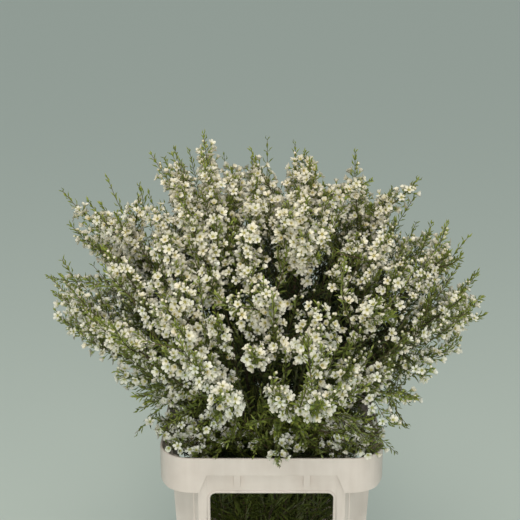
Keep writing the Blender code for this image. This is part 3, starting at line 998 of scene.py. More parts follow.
@dataclass(frozen=True)
class Crown:
    """The rule that spreads the stems: a spiral bundle that fans out above the collar."""

    stems: int = 28
    golden: float = pi * (3 - sqrt(5))
    first_turn: float = radians(-20)
    twist: float = radians(70)
    foot: tuple[float, float] = (0.070, 0.105)
    foot_z: float = 0.0033
    crossing: tuple[float, float] = (0.100, 0.148)
    crossing_z: float = 0.4718
    fan_z: float = 0.363
    fan_spread: float = 0.050
    lean: tuple[float, float] = (radians(50.5), radians(48))
    corner_lift: float = 0.15
    reach: float = 0.510
    reach_loss: float = 0.110
    droop_start: float = 0.150
    droop: float = 1.2
    droop_width: float = 0.220
    handles: tuple[float, float] = (0.30, 0.35)     # of a stem's curve, shares of its span
    stem_radius: float = 0.0026
    outer_lean: float = radians(50)
    deeper_by: float = 1.06         # how much deeper than wide the bunch is
    forward_by: float = 0.008       # how far it leans to the front
    plan: BucketPlan = BucketPlan()
    rim_z: float = 0.4898
    collar_foot: tuple[float, float] = (0.1222, 0.2243)     # half width and height
    # Tips of the long shoots that stand out of the bunch
    shoots: tuple[tuple[float, float, float], ...] = SHOOTS
    owning: float = 0.85            # share of a stem's length along which it may own twigs
    owning_places: int = 14         # points tried along it
    # Every stem grew to its own height, a share of the reach, which makes the surface uneven
    grown: tuple[float, float] = (0.90, 1.01)
    # Where the surface lies below a dome: by lean, and by how far it points right, left or up
    middle_dip: Ramp = Ramp(0.05, 0.0, 0.5)
    right_dip: Ramp = Ramp(0.05, -0.1, 0.5)
    notch_dip: Ramp = Ramp(0.09, 0.25, 0.5)
    notch_height: Ramp = Ramp(1.0, 0.60, 0.78)
    # Directions of the dome's ends: how far off the spiral, and their parts out and up
    bearing_scatter: float = 0.08
    finish_out: float = 0.55
    finish_up: float = 0.60
    finish_scatter: float = 0.12
    # The lower side: its half width is foot + flare * rise^2 at a height above the rim
    wall_foot: float = 0.186
    wall_flare: float = 4.0
    wall_power: tuple[float, float] = (5.5, 2.0)    # exponent of its outline, low and high
    wall_step: float = 0.618        # near the golden share, so that heights spread evenly
    wall_depth: float = 0.030
    wall_out: float = 0.8           # parts of its ends' direction: out, down low, up high
    wall_down: float = 0.45
    wall_up: float = 1.3
    under_shift: float = 0.004      # how much further it reaches on the right
    under_corner: float = 0.42      # how much its corners are cut, 0 to 1
    hang: float = 0.046             # how far leaves and flowers reach past the twigs' ends
    # The mouth: an exponent under 1 sets more ends near the edge, which is this far past a wall
    mouth_crowding: float = 0.55
    mouth_past: float = 0.002
    corner_inset: float = 0.7       # middle of a corner's ends, in radii of the rim's corner
    corner_spread: float = 0.036
    # What counts as outside: by half width of the plan, and by height above the rim
    outside: Ramp = Ramp(1.0, 0.125, 0.160)
    above: Ramp = Ramp(1.0, -0.050, 0.010)
    # What stems lost in growth: on the right, high up there, and low on the left
    right_loss: Ramp = Ramp(0.06, 0.02, 0.20)
    high_right_loss: Ramp = Ramp(0.05, 0.0, 0.06)
    high: Ramp = Ramp(1.0, 0.62, 0.80)
    left_loss: Ramp = Ramp(0.12, 0.14, 0.26)
    low_down: Ramp = Ramp(1.0, -0.72, -0.62)

    def paths(self) -> tuple[Array, Array]:
        """Each stem's foot, (stems, 3), and the four control points above it, (stems, 4, 3)."""
        index = np.arange(self.stems)
        # How far from the middle each stem stands, 0 to 1, and its turn about Z
        share = np.sqrt((index + 0.5) / self.stems)
        turn = self.first_turn - index * self.golden
        u, v = share * np.cos(turn), share * np.sin(turn)
        foot = np.stack([self.foot[0] * share * np.cos(turn - self.twist),
                         self.foot[1] * share * np.sin(turn - self.twist),
                         0 * u + self.foot_z], 1)
        crossing = np.stack([self.crossing[0] * u, self.crossing[1] * v,
                             0 * u + self.crossing_z], 1)
        rise = crossing - foot
        foot[:, 2] += self.stem_radius * np.hypot(*rise[:, :2].T) / np.linalg.norm(rise, axis=1)
        lean = np.hypot(self.lean[0] * u, self.lean[1] * v)
        bearing = np.arctan2(self.lean[1] * v, self.lean[0] * u)
        lean = lean * (1 - self.corner_lift * share * np.sin(2 * bearing) ** 2)
        outwards = leaning(lean, bearing)
        reach = self.reach - self.reach_loss * lean**2
        tip = np.stack([0 * v, self.fan_spread * v, 0 * v + self.fan_z], 1)
        tip = tip + outwards * reach[:, None]
        droop = self.droop * np.maximum(0, 1 - (tip[:, 0] / self.droop_width) ** 2)
        past = np.maximum(0, np.abs(tip[:, 1]) - self.droop_start)
        tip[:, 2] -= droop * past**2
        towards = outwards.copy()
        towards[:, 2] -= droop * past
        return foot, arcs(crossing, unit(crossing - foot), tip, unit(towards), self.handles)

    @cached_property
    def samples(self) -> Array:
        """Points along every stem above the crossing, (stems, places, 3)."""
        return along_curves(self.paths()[1], np.linspace(0, self.owning, self.owning_places)[None])

    def owners(self, tips: Array) -> NDArray[np.int64]:
        """Number of the stem that passes nearest to each point."""
        apart = np.linalg.norm(tips[:, None, None] - self.samples[None], axis=-1)
        return np.argmin(apart.min(2), axis=1)

    def targets(self, layer: Layer, rng: np.random.Generator, tips: Array,
                finish: Array) -> Targets:
        """Gives ends on the surface a length of twig and the stem that they grow on."""
        return Targets(tips, finish, rng.uniform(*layer.length, len(tips)), self.owners(tips))

    def shell(self, layer: Layer) -> Targets:
        """Twig ends spread evenly over the bunch's upper surface or over a layer under it.

        At lean l and bearing b an end lies r(l) (sin l cos b, d sin l sin b, cos l) above the
        fan's centre; cos l falls evenly, so every end has the same area round it.
        """
        rng, count = np.random.default_rng(layer.seed), layer.count
        share = (np.arange(count) + rng.random(count)) / count
        lean = np.arccos(1 - share * (1 - cos(self.outer_lean)))
        bearing = np.arange(count) * self.golden + rng.normal(0, self.bearing_scatter, count)
        lean = lean * (1 - self.corner_lift * lean / self.outer_lean * np.sin(2 * bearing) ** 2)
        outwards = leaning(lean, bearing)
        out = outwards * (self.reach - self.reach_loss * lean**2)[:, None]
        out = out * (1, self.deeper_by, 1) - (0, self.forward_by, 0)
        grown = rng.uniform(*self.grown, self.stems)[self.owners(out + self.fan_z * UP)]
        right, up = outwards[:, 0], outwards[:, 2]
        lower = self.middle_dip.left(lean) + self.right_dip.at(right)
        lower = lower + self.notch_dip.at(-right) * self.notch_height.at(up)
        least, most = layer.depth
        lower = lower + least + (most - least) * rng.random(count) ** 2
        tips = out * ((1 - lower) * grown)[:, None] + self.fan_z * UP
        finish = unit(self.finish_out * outwards + self.finish_up * UP
                      + rng.normal(0, self.finish_scatter, (count, 3)))
        return self.targets(layer, rng, tips, finish)

    def wall(self, layer: Layer) -> Targets:
        """Twig ends round the bunch's lower side, which flares up from the collar's rim.

        At height z and bearing b an end lies (|cos b / a|^n + |sin b / c|^n)^(-1/n) out. The
        half sizes a and c grow with the square of z, and n falls from a nearly square outline
        at the rim to an ellipse.
        """
        rng, count = np.random.default_rng(layer.seed), layer.count
        share = (np.arange(count) * self.wall_step + rng.random(count) / count) % 1
        rise = layer.rise[0] + (layer.rise[1] - layer.rise[0]) * share
        bearing = 2 * pi * (np.arange(count) + rng.random(count)) / count
        wide = self.wall_foot + self.wall_flare * rise**2
        power = self.wall_power[0] + (self.wall_power[1] - self.wall_power[0]) * share
        c, s = np.cos(bearing), np.sin(bearing)
        out = (np.abs(c / wide) ** power + np.abs(s / (wide + self.plan.deeper)) ** power
               ) ** (-1 / power) - self.wall_depth * rng.random(count) ** 2
        tips = np.stack([out * c, out * s - self.forward_by, self.rim_z + rise], 1)
        finish = unit(np.stack([self.wall_out * c, self.wall_out * s,
                                self.wall_up * share - self.wall_down], 1))
        return self.targets(layer, rng, tips, finish)

    def mouth(self, layer: Layer) -> Targets:
        """Twig ends that fill the collar's mouth, up into its corners.

        They are drawn over a square and kept inside the rounded plan.
        """
        rng = np.random.default_rng(layer.seed)
        square = rng.uniform(-1, 1, (layer.count, 2))
        square = np.sign(square) * np.abs(square) ** self.mouth_crowding
        edge = self.plan.body_top + self.mouth_past
        tips = np.column_stack([square * (edge, edge + self.plan.deeper),
                                self.rim_z + rng.uniform(*layer.rise, len(square))])
        tips = tips[self.half_width(tips) < edge]
        return self.targets(layer, rng, tips, layer.fanned(tips))

    def corners(self, layer: Layer) -> Targets:
        """Twig ends over the corners of the rim, where the bunch hides the collar's mouth."""
        rng, count = np.random.default_rng(layer.seed), layer.count
        side = np.stack([(-1) ** np.arange(count), (-1) ** (np.arange(count) // 2)], 1)
        middle = self.plan.rim - self.corner_inset * self.plan.rim_corner
        place = (middle, middle + self.plan.deeper) + rng.uniform(
            -self.corner_spread, self.corner_spread, (count, 2))
        tips = np.column_stack([side * place, self.rim_z + rng.uniform(*layer.rise, count)])
        return self.targets(layer, rng, tips, layer.fanned(tips))

    @cached_property
    def layers(self) -> list[tuple[Layer, Targets]]:
        """Every kind of side twigs with its ends, from the top down to the collar's mouth."""
        return [(DOME, self.shell(DOME)), (CORE, self.shell(CORE)), (WALL, self.wall(WALL)),
                (MOUTH, self.mouth(MOUTH)), (CORNERS, self.corners(CORNERS))]

    def shoots_of(self, number: int) -> Array:
        """Tips of the long shoots that grow on one stem, the stem whose own tip is nearest."""
        tips = np.array(self.shoots)
        apart = np.linalg.norm(tips[:, None] - self.paths()[1][None, :, 3], axis=-1)
        return tips[np.argmin(apart, axis=1) == number]

    def half_width(self, points: Array, flat: bool = False) -> Array:
        """Half width of the collar's outline, round or flat-cornered, through each point."""
        x, y = np.abs(points[..., 0]), np.abs(points[..., 1]) - self.plan.deeper
        corner = self.plan.rim - self.plan.rim_corner
        over = np.maximum(x - corner, 0), np.maximum(y - corner, 0)
        past = sum(over) if flat else np.hypot(*over)
        return np.where(past > 0, corner + past, np.maximum(x, y))

    def clear(self, points: Array, margin: float) -> NDArray[np.bool_]:
        """Whether each point is at least a margin away from the collar's wall."""
        width, z, plan = self.half_width(points), points[..., 2], self.plan
        taper = (z - self.collar_foot[1]) / (self.crossing_z - self.collar_foot[1])
        wall = self.collar_foot[0] + (plan.body_top - self.collar_foot[0]) * taper
        inner = np.where(z > self.rim_z - plan.ledge_drop, plan.rim - width,
                         wall - self.half_width(points, flat=True))
        return ((inner > plan.wall + margin) | (width > plan.rim + margin)
                | (z > self.rim_z + margin))

    def under(self, points: Array) -> NDArray[np.bool_]:
        """Whether each point hangs below the bunch's lower side, which flares up from the rim."""
        wide = np.abs(points[..., 0] - self.under_shift)
        deep = np.abs(points[..., 1]) - self.plan.deeper
        less = np.maximum(np.minimum(wide, deep), 0)
        out = np.maximum(wide, deep) + self.under_corner * less
        rise = np.maximum(points[..., 2] - self.rim_z, 0)
        return out > self.wall_foot + self.hang + self.wall_flare * rise**2

    def exposure(self, points: Array) -> Array:
        """How near to the bunch's outside a point is: about 1 on it and 0 deep in the middle."""
        x, y = points[..., 0], (points[..., 1] + self.forward_by) / self.deeper_by
        z = points[..., 2] - self.fan_z
        lean = np.arctan2(np.hypot(x, y), z)
        out = np.sqrt(x * x + y * y + z * z) / (self.reach - self.reach_loss * lean**2)
        outside = self.outside.at(self.half_width(points))
        above = self.above.at(points[..., 2] - self.rim_z)
        return np.maximum(out, lean / self.outer_lean) * np.maximum(outside, above)

    def vigour(self, tip: Array) -> float:
        """How long a stem grew: less so on the right, high up there and low on the left."""
        x, z = tip[0], tip[2]
        right = self.right_loss.at(x) + self.high_right_loss.at(x) * self.high.at(z)
        left = self.left_loss.at(-x) * self.low_down.at(-z)
        return float(1.0 - right - left)


@dataclass(frozen=True)
class Twigs:
    """Side twigs of one kind on one stem: their centre lines, and what stands on them."""

    curves: Array                               # control points, (twigs, 4, 3)
    flowering: Array                            # share of a full flowering, (twigs,)
    pairs: int                                  # pairs of leaves along each twig
    radius: float = 1.0 * MM                    # at the foot
    zone: tuple[float, float] = (0.28, 0.86)    # where along the twig it flowers
    leaf_scale: float = 1.0
    fresh: float = 0.0                          # how much greener its leaves are
    free: bool = False                          # whether it may hang below the bunch's side

    def at(self, share: Array) -> Array:
        """Points at shares of each twig's length, (twigs, places, 3)."""
        return along_curves(self.curves, share)


@dataclass(frozen=True)
class TwigHabit:
    """How leafy side twigs grow along their stem and fill its plume."""

    count: int = 9
    start: tuple[float, float] = (0.02, 0.84)   # shares of the stem where the twigs leave it
    length: tuple[float, float] = (0.09, 0.18)
    spread: tuple[float, float] = (0.10, 1.15)  # shares of the plume's radius that tips reach
    end: tuple[float, float] = (0.80, 1.05)     # shares of the stem past which no tip reaches
    pairs: int = 20
    flowering: float = 0.0                      # share of the twigs that flower
    bloom: tuple[float, float] = (0.75, 1.0)    # and how fully these do
    plume_radius: float = 0.070
    widest: float = 0.62                        # share of the stem where the plume is widest
    taper: tuple[float, float] = (0.6, 0.23)    # where it starts to narrow, and how slowly
    blunt: float = 1.03                         # over 1 leaves the plume's end open
    least: float = 0.05
    leave: tuple[float, float] = (radians(34), radians(5))      # angle and its scatter
    close: tuple[float, float] = (radians(12), radians(7))
    rise: float = 0.045                         # how far a tip on a level stem turns up
    turn_up: float = 0.8                        # and how far its direction does
    handle: float = 0.38                        # of a twig's curve, a share of its span

    def fullness(self, share: Array) -> Array:
        """The plume's radius along the stem: a quarter of a sine wave, then of an ellipse."""
        grown = np.sin(np.clip(share / self.widest, 0, 1) * pi / 2)
        past = np.clip(share - self.taper[0], 0, 1)
        return grown * np.sqrt(np.clip(self.blunt - past ** 2 / self.taper[1], self.least, 1))


@dataclass(frozen=True)
class ReachHabit:
    """How a twig that has to end at a given place chooses where to leave its stem."""

    places: int = 40                # places along the stem that are tried
    highest: float = 0.80           # share of the stem, the last of them
    bend_cost: float = 0.15         # cost of a bend against a metre of wrong length
    straight: float = 0.45          # cosine of the bend that costs nothing
    along: float = 0.8              # parts of the first direction: along the stem, to the end
    towards: float = 0.7
    handle: float = 0.38
    tested: int = 12                # points of a twig that are tested against the collar
    margin: float = 2 * MM
    bloom: tuple[float, float] = (0.8, 1.0)     # shares of a full flowering


@dataclass(frozen=True)
class LowShootHabit:
    """How leafy shoots grow low on the stems, inside the collar."""

    count: int = 7
    start: tuple[float, float] = (0.50, 1.0)    # shares of the way up to the crossing
    reach: tuple[float, float] = (0.02, 0.06)
    outward_reach: tuple[float, float] = (0.02, 0.09)
    scatter: float = radians(38)
    mouth: tuple[float, float] = (0.122, 0.172)     # half width and depth that they stay in
    rise: tuple[float, float] = (0.06, 0.11)
    turn_up: float = 0.5
    handles: tuple[float, float] = (0.40, 0.35)
    tested: int = 9
    margin: float = 2 * MM
    pairs: int = 13
    radius: float = 0.9 * MM
    leaf_scale: float = 1.8
    fresh: float = 0.22


@dataclass(frozen=True)
class LongShootHabit:
    """How a stem's own upper end grows, and the long shoots that stand out of the bunch."""

    leader: tuple[float, float, float, float] = (0.62, 0.75, 0.88, 1.01)    # shares of the stem
    start: tuple[float, float] = (0.60, 0.76)
    turn_up: float = 0.25
    handles: tuple[float, float] = (0.35, 0.40)
    pairs: int = 32
    radius: float = 1.2 * MM
    zone: tuple[float, float] = (0.10, 0.78)


@dataclass(frozen=True)
class WoodHabit:
    """How the stems and twigs taper, and where they lie on the map."""

    stem_top: float = 0.68          # share of the stem at which its leader takes over
    stem_places: tuple[int, int] = (9, 20)      # below and above the crossing
    stem_sides: int = 8
    stem_taper: float = 0.5
    twig_places: int = 7
    twig_sides: int = 3
    twig_taper: float = 0.6
    old: float = 0.6                # map height that the stem's top reaches
    young: tuple[float, float] = (0.5, 0.48)    # start of the twigs on the map, and length


@dataclass(frozen=True)
class SiteHabit:
    """Where the pairs of leaf axils stand along a twig."""

    first: float = 0.06             # share of the twig below which there are none
    jitter: tuple[float, float] = (0.2, 0.8)    # place of a pair within its stretch
    scatter: float = 0.25           # of a pair's turn, in radians


@dataclass(frozen=True)
class LeafHabit:
    """How needle leaves stand on a twig, and their tint: painted light outside the bunch, shade in
    it.

    Ramps go by the place along the twig, by exposure or by height, as their comments say.
    """

    length: float = 12.5 * MM
    width: float = 2.8 * MM
    lengths: tuple[float, float] = (0.75, 1.35)     # shares of the mean length and width
    widths: tuple[float, float] = (0.8, 1.15)
    opening: float = radians(46)
    closing: Ramp = Ramp(radians(20), 0.6, 1.0)     # by place: leaves close up at the tip
    scatter: float = radians(9)
    shaded: Ramp = Ramp(0.6, 0.3, 0.8)              # by exposure: longer inside the bunch
    shorter: Ramp = Ramp(0.35, 0.7, 1.0)            # by place: shorter at the tip
    kept: float = 0.96
    margin: float = 1 * MM
    # Painted light and shade in the leaves' tint: lighter outside, at twig tips and up high, darker
    # low
    lit: Ramp = Ramp(1.0, 0.62, 1.0)                # by exposure: lighter outside
    low_shade: Ramp = Ramp(0.5, 0.47, 0.58)         # by height: darker low down
    outer_tint: float = 0.66
    tip_tint: Ramp = Ramp(0.15, 0.7, 1.0)           # by place
    high_tint: Ramp = Ramp(0.2, 0.60, 0.85)         # by height
    tint: tuple[float, float] = (0.05, 0.05)        # mean and scatter in the shade
    outer_scatter: float = 0.11


@dataclass(frozen=True)
class HeadHabit:
    """How flowers or buds stand on their stalks."""

    stalk: tuple[float, float]      # shortest and longest, in millimetres
    opening: float                  # angle between stalk and twig


@dataclass(frozen=True)
class BloomHabit:
    """Where flowers and buds stand on the twigs, and how they face.

    Ramps go by exposure, by height or by the place to the right, as their comments say.
    """

    flower: HeadHabit = HeadHabit((8.0, 15.0), radians(60))
    bud: HeadHabit = HeadHabit((5.0, 9.0), radians(42))
    open_outside: Ramp = Ramp(1.0, 0.70, 0.86)      # by exposure
    uneven: float = 0.04                            # scatter of the exposure
    late: Ramp = Ramp(0.38, 0.05, 0.20)             # to the right: fewer flowers, more buds
    late_end: Ramp = Ramp(1.0, 0.22, 0.28)          # to the right, where that ends
    low: float = 0.6                                # chance low down
    higher: Ramp = Ramp(0.45, 0.54, 0.70)           # by height: what it gains
    most: float = 0.97
    longer: Ramp = Ramp(0.07, 0.68, 0.80)           # by height: the zone reaches further up
    bud_zone: tuple[float, float] = (0.06, 0.12)    # before and past the end of the zone
    bud_chance: float = 0.45
    bud_between: float = 0.98                       # draw above which a bud is left unopened
    late_buds: float = 0.2
    twice: Ramp = Ramp(0.25, 0.66, 0.80)            # by height: two flowers in one axil
    aside: float = 0.6
    scatter: float = radians(13)
    outwards: float = 0.45
    facing_scatter: float = 0.36
    sizes: tuple[float, float] = (0.86, 1.12)
    margin: float = 6 * MM
    painted_warm_light: Ramp = Ramp(1.0, 0.46, 0.86)              # by height: creamier higher up, painted warm light
    tint: tuple[float, float, float] = (0.10, 0.65, 0.18)   # low down, gain, scatter


@dataclass(frozen=True)
class Sites:
    """Leaf axils of twigs: place, share of the twig, direction along it and square off it."""

    places: Array
    share: Array
    forward: Array
    off: Array


@dataclass
class Spray:
    """One cut stem: its wood, side twigs, needle leaves, flowers and buds."""

    number: int
    crown: Crown
    foot: Array
    curve: Array
    materials: dict[str, bpy.types.Material]
    flower_forms: list[Shape]
    side: TwigHabit = TwigHabit()
    reach: ReachHabit = ReachHabit()
    low: LowShootHabit = LowShootHabit()
    long: LongShootHabit = LongShootHabit()
    woody: WoodHabit = WoodHabit()
    axils: SiteHabit = SiteHabit()
    leaf: LeafHabit = LeafHabit()
    bloom: BloomHabit = BloomHabit()

    def __post_init__(self) -> None:
        """Starts the spray's own row of random draws."""
        self.rng = np.random.default_rng(FIRST_SEED + self.number)

    def main_path(self, share: Array) -> Array:
        """Points of the stem above the crossing, straight on past its tip and below 0."""
        points = bezier(*self.curve, np.clip(share, 0, 1))
        ahead, below = unit(self.curve[3] - self.curve[2]), unit(self.curve[0] - self.foot)
        length = np.linalg.norm(self.curve[3] - self.curve[0])
        return (points + (np.maximum(share - 1, 0) * length)[..., None] * ahead
                + (np.minimum(share, 0) * length)[..., None] * below)

    def frames(self, share: Array) -> tuple[Array, Array, Array]:
        """Directions along the stem and square to it, at shares of its length."""
        step = 0.01
        forward = unit(self.main_path(share + step) - self.main_path(share - step))
        outward = np.array([self.curve[3, 0], self.curve[3, 1], 0.0])
        # A stem that stands upright has no outward direction, so a hair is added to it
        outward = unit(outward + np.array([1e-4, 0, 0]))
        across = unit(np.cross(UP, outward) + 0 * forward)
        over = unit(np.cross(forward, across))
        return forward, np.cross(over, forward), over

    def side_twigs(self) -> Twigs:
        """Twigs that leave the stem by the golden angle and curve up to fill its plume."""
        rng, habit, count = self.rng, self.side, self.side.count
        share = habit.start[0] + (np.arange(count) + rng.random(count)) / count * (
            habit.start[1] - habit.start[0])
        turn = np.arange(count) * self.crown.golden + rng.random() * 2 * pi
        whole = np.linalg.norm(self.curve[3] - self.curve[0])
        end = share + rng.uniform(*habit.length, count) / whole
        vigour = self.crown.vigour(self.curve[3])
        end = np.minimum(end, rng.uniform(*habit.end, count) * vigour)
        forward, across, over = self.frames(share)
        radial = across * np.cos(turn)[:, None] + over * np.sin(turn)[:, None]
        tip_forward, tip_across, tip_over = self.frames(end)
        tip_radial = tip_across * np.cos(turn)[:, None] + tip_over * np.sin(turn)[:, None]
        low, high = habit.spread
        radius = habit.plume_radius * habit.fullness(end) * np.sqrt(
            rng.uniform(low**2, high**2, count))
        origin = self.main_path(share)
        level = np.hypot(tip_forward[:, 0], tip_forward[:, 1])[:, None] * UP
        tip = self.main_path(end) + tip_radial * radius[:, None] + habit.rise * level
        leave = habit.leave[0] + rng.normal(0, habit.leave[1], count)
        start = forward * np.cos(leave)[:, None] + radial * np.sin(leave)[:, None]
        close = habit.close[0] + rng.normal(0, habit.close[1], count)
        finish = tip_forward * np.cos(close)[:, None] + tip_radial * np.sin(close)[:, None]
        finish = unit(finish + habit.turn_up * level)
        curves = arcs(origin, start, tip, finish, (habit.handle, habit.handle))
        flowering = (rng.random(count) < habit.flowering) * rng.uniform(*habit.bloom, count)
        held = ~self.crown.under(curves[:, 2:]).any(1)
        return Twigs(curves[held], flowering[held], habit.pairs)

    def twigs_to(self, layer: Layer, targets: Targets) -> Twigs:
        """Twigs that leave the stem about their length below their ends and curve up to them.

        Args:
            layer: how this kind of twigs grows.
            targets: its ends on the bunch's surface, of which this stem takes its own.
        Returns:
            The twigs that stay clear of the collar and above the bunch's lower side.
        """
        habit, mine = self.reach, targets.owner == self.number
        tip, finish, length = targets.tips[mine], targets.finish[mine], targets.length[mine]
        share = np.linspace(layer.low, habit.highest, habit.places)
        gap = tip[:, None] - self.main_path(share)[None]
        apart = np.linalg.norm(gap, axis=-1)
        turn = (gap * finish[:, None]).sum(-1) / apart
        bend = np.maximum(0, habit.straight - turn)
        cost = np.abs(apart - length[:, None]) + habit.bend_cost * bend
        chosen = share[np.argmin(cost, axis=1)]
        origin, forward = self.main_path(chosen), self.frames(chosen)[0]
        start = unit(habit.along * forward + habit.towards * unit(tip - origin)
                     + layer.lift * UP)
        curves = arcs(origin, start, tip, finish, (habit.handle, habit.handle))
        path = even_points(curves, habit.tested)
        free = (self.crown.clear(path, habit.margin) & ~self.crown.under(path)).all(1)
        count = int(free.sum())
        opened = self.rng.random(count) < layer.flowering
        return Twigs(curves[free], opened * self.rng.uniform(*habit.bloom, count), layer.pairs,
                     zone=layer.zone)

    def low_shoots(self, outwards: bool) -> Twigs:
        """Leafy shoots low on the stem, inside the collar, either any way round or outwards."""
        rng, habit, count = self.rng, self.low, self.low.count
        share = rng.uniform(*habit.start, count)[:, None]
        origin = self.foot + (self.curve[0] - self.foot) * share
        bearing, reach = rng.uniform(0, 2 * pi, count), rng.uniform(*habit.reach, count)
        if outwards:
            bearing = np.arctan2(self.curve[0, 1], self.curve[0, 0]) + rng.normal(
                0, habit.scatter, count)
            reach = rng.uniform(*habit.outward_reach, count)
        out = np.stack([np.cos(bearing), np.sin(bearing), 0 * bearing], 1)
        tip = origin + out * reach[:, None]
        limit = np.array(habit.mouth)
        tip[:, :2] = np.clip(tip[:, :2], -limit, limit)
        tip += UP * rng.uniform(*habit.rise, count)[:, None]
        span = np.linalg.norm(tip - origin, axis=1)[:, None]
        start, finish = unit(tip - origin), unit(tip - origin + UP * span * habit.turn_up)
        curves = arcs(origin, start, tip, finish, habit.handles)
        path = even_points(curves, habit.tested)
        free = self.crown.clear(path, habit.margin).all(1)
        return Twigs(curves[free], np.zeros(int(free.sum())), habit.pairs, habit.radius,
                     leaf_scale=habit.leaf_scale, fresh=habit.fresh)

    def long_shoots(self) -> Twigs:
        """The stem's own upper end, and shoots that stand out of the bunch with leafy tips."""
        habit, tips = self.long, self.crown.shoots_of(self.number)
        leader = np.array(habit.leader)
        leader[-1] = habit.leader[-1] * self.crown.vigour(self.curve[3])
        origin = self.main_path(np.linspace(*habit.start, len(tips)))
        ahead = unit(self.curve[3] - self.curve[2])
        finish = unit(unit(tips - origin) + habit.turn_up * UP)
        curves = arcs(origin, ahead, tips, finish, habit.handles)
        return Twigs(np.concatenate([self.main_path(leader)[None], curves]),
                     np.ones(len(tips) + 1), habit.pairs, habit.radius, habit.zone, free=True)

    def wood(self, kinds: list[Twigs]) -> Shape:
        """The stem from its foot to the leader, and the side twigs."""
        habit, (low, high) = self.woody, self.woody.stem_places
        below = np.linspace(0, 1, low)[:-1, None]
        above = np.linspace(0, habit.stem_top, high)
        path = np.concatenate([self.foot + (self.curve[0] - self.foot) * below,
                               self.main_path(above)])[None]
        height = np.linspace(0, 1, path.shape[1])
        radii = (self.crown.stem_radius * (1 - habit.stem_taper * height))[None]
        tint = np.array([self.rng.random()])
        parts = [tubes(path, radii, habit.stem_sides, tint, (habit.old * height)[None])]
        share = np.linspace(0, 1, habit.twig_places)[None]
        young, length = habit.young
        for twigs in kinds:
            count = len(twigs.curves)
            thin = twigs.radius * (1 - habit.twig_taper * share) + np.zeros((count, 1))
            parts.append(tubes(twigs.at(share), thin, habit.twig_sides, self.rng.random(count),
                               young + length * share + 0 * thin))
        return Shape.merged(parts)

    def sites(self, twigs: Twigs) -> Sites:
        """Where leaves and flowers join their twigs.

        Pairs stand opposite each other, each pair a quarter turn on from the last.
        """
        rng, habit, count = self.rng, self.axils, twigs.pairs
        share = np.arange(count)[None] + rng.uniform(*habit.jitter, (len(twigs.curves), count))
        share = habit.first + (1 - habit.first) * share / count
        places = twigs.at(share)
        forward, across, over = axes_along(places)
        turn = np.arange(count) * pi / 2 + rng.random((len(twigs.curves), 1)) * 2 * pi
        turn = turn + rng.normal(0, habit.scatter, turn.shape)
        pair = turn[..., None] + np.array([0.0, pi])
        off = (across[:, :, None] * np.cos(pair)[..., None]
               + over[:, :, None] * np.sin(pair)[..., None])
        return Sites(np.broadcast_to(places[:, :, None], off.shape),
                     np.broadcast_to(share[..., None], off.shape[:3]),
                     np.broadcast_to(forward[:, :, None], off.shape), off)

    def leaves(self, twigs: Twigs, sites: Sites) -> Shape:
        """Needle leaves in opposite pairs, closing up and getting shorter towards the tip."""
        rng, habit, share = self.rng, self.leaf, sites.share
        exposure = self.crown.exposure(sites.places)
        opening = habit.opening - habit.closing.at(share)
        opening = (opening + rng.normal(0, habit.scatter, share.shape))[..., None]
        along = unit(sites.forward * np.cos(opening) + sites.off * np.sin(opening))
        up = unit(sites.forward * np.sin(opening) - sites.off * np.cos(opening))
        length = habit.length * twigs.leaf_scale * rng.uniform(*habit.lengths, share.shape)
        length = length * (1 + habit.shaded.left(exposure)) * (1 - habit.shorter.at(share))
        keep = rng.random(share.shape) < habit.kept
        if not twigs.free:
            keep &= ~self.crown.under(sites.places + along * length[..., None])
        for part in (0.0, 0.5, 1.0):
            point = sites.places + along * (part * length)[..., None]
            keep &= self.crown.clear(point, habit.margin)
        along, up, length = along[keep], up[keep], length[keep]
        axes = np.stack([along, np.cross(up, along), up], 1)
        width = habit.width * rng.uniform(*habit.widths, len(along))
        height = sites.places[keep][:, 2]
        # The tint paints light on leaves outside, at twig tips and up high, and shade inside and
        # low down
        sunk = 1 - habit.low_shade.size + habit.low_shade.at(height)
        outer = habit.lit.at(exposure[keep]) * sunk
        young = twigs.fresh + habit.outer_tint * outer + habit.tip_tint.at(share[keep]) * outer
        young = young + habit.high_tint.at(height) * outer
        mean, scatter = habit.tint
        draw = rng.normal(mean, scatter + habit.outer_scatter * outer, len(along))
        return stamped(LEAF_FORMS, rng.integers(0, len(LEAF_FORMS), len(along)),
                       sites.places[keep], axes, np.stack([length, width, width], 1),
                       np.clip(young + draw, 0, 1))

    def blooms(self, twigs: Twigs, sites: Sites) -> list[Shape]:
        """Flowers along the middle of each twig and buds past them, on their stalks."""
        rng, habit = self.rng, self.bloom
        share, places, first, last = sites.share, sites.places, *twigs.zone
        exposure = self.crown.exposure(places) + rng.normal(0, habit.uneven, share.shape)
        right, height = places[..., 0], places[..., 2]
        late = habit.late.at(right) * habit.late_end.left(right)
        chance = twigs.flowering[:, None, None] * habit.open_outside.at(exposure)
        chance = chance * (habit.low + habit.higher.at(height))
        draw = rng.random(share.shape)
        zone = (share > first) & (share < last + habit.longer.at(height))
        flowers = zone & (draw < habit.most * chance * (1 - late))
        before, past = habit.bud_zone
        budding = (share > last - before) & (share < last + past) & (draw < habit.bud_chance)
        between = zone & (draw > habit.bud_between - habit.late_buds * late)
        buds = (budding | between) & ~flowers & (twigs.flowering > 0)[:, None, None]
        foot, forward, off = places[flowers], sites.forward[flowers], sites.off[flowers]
        twice = rng.random(len(foot)) < habit.twice.at(foot[:, 2])
        aside = unit(off[twice] + rng.normal(0, habit.aside, off[twice].shape))
        foot, forward = np.append(foot, foot[twice], 0), np.append(forward, forward[twice], 0)
        kinds = rng.integers(0, len(self.flower_forms), len(foot))
        return [
            self.stalked(self.flower_forms, kinds, foot, forward, np.append(off, aside, 0),
                         habit.flower),
            self.stalked(BUD_FORMS, np.zeros(int(buds.sum()), np.int64), places[buds],
                         sites.forward[buds], sites.off[buds], habit.bud),
        ]

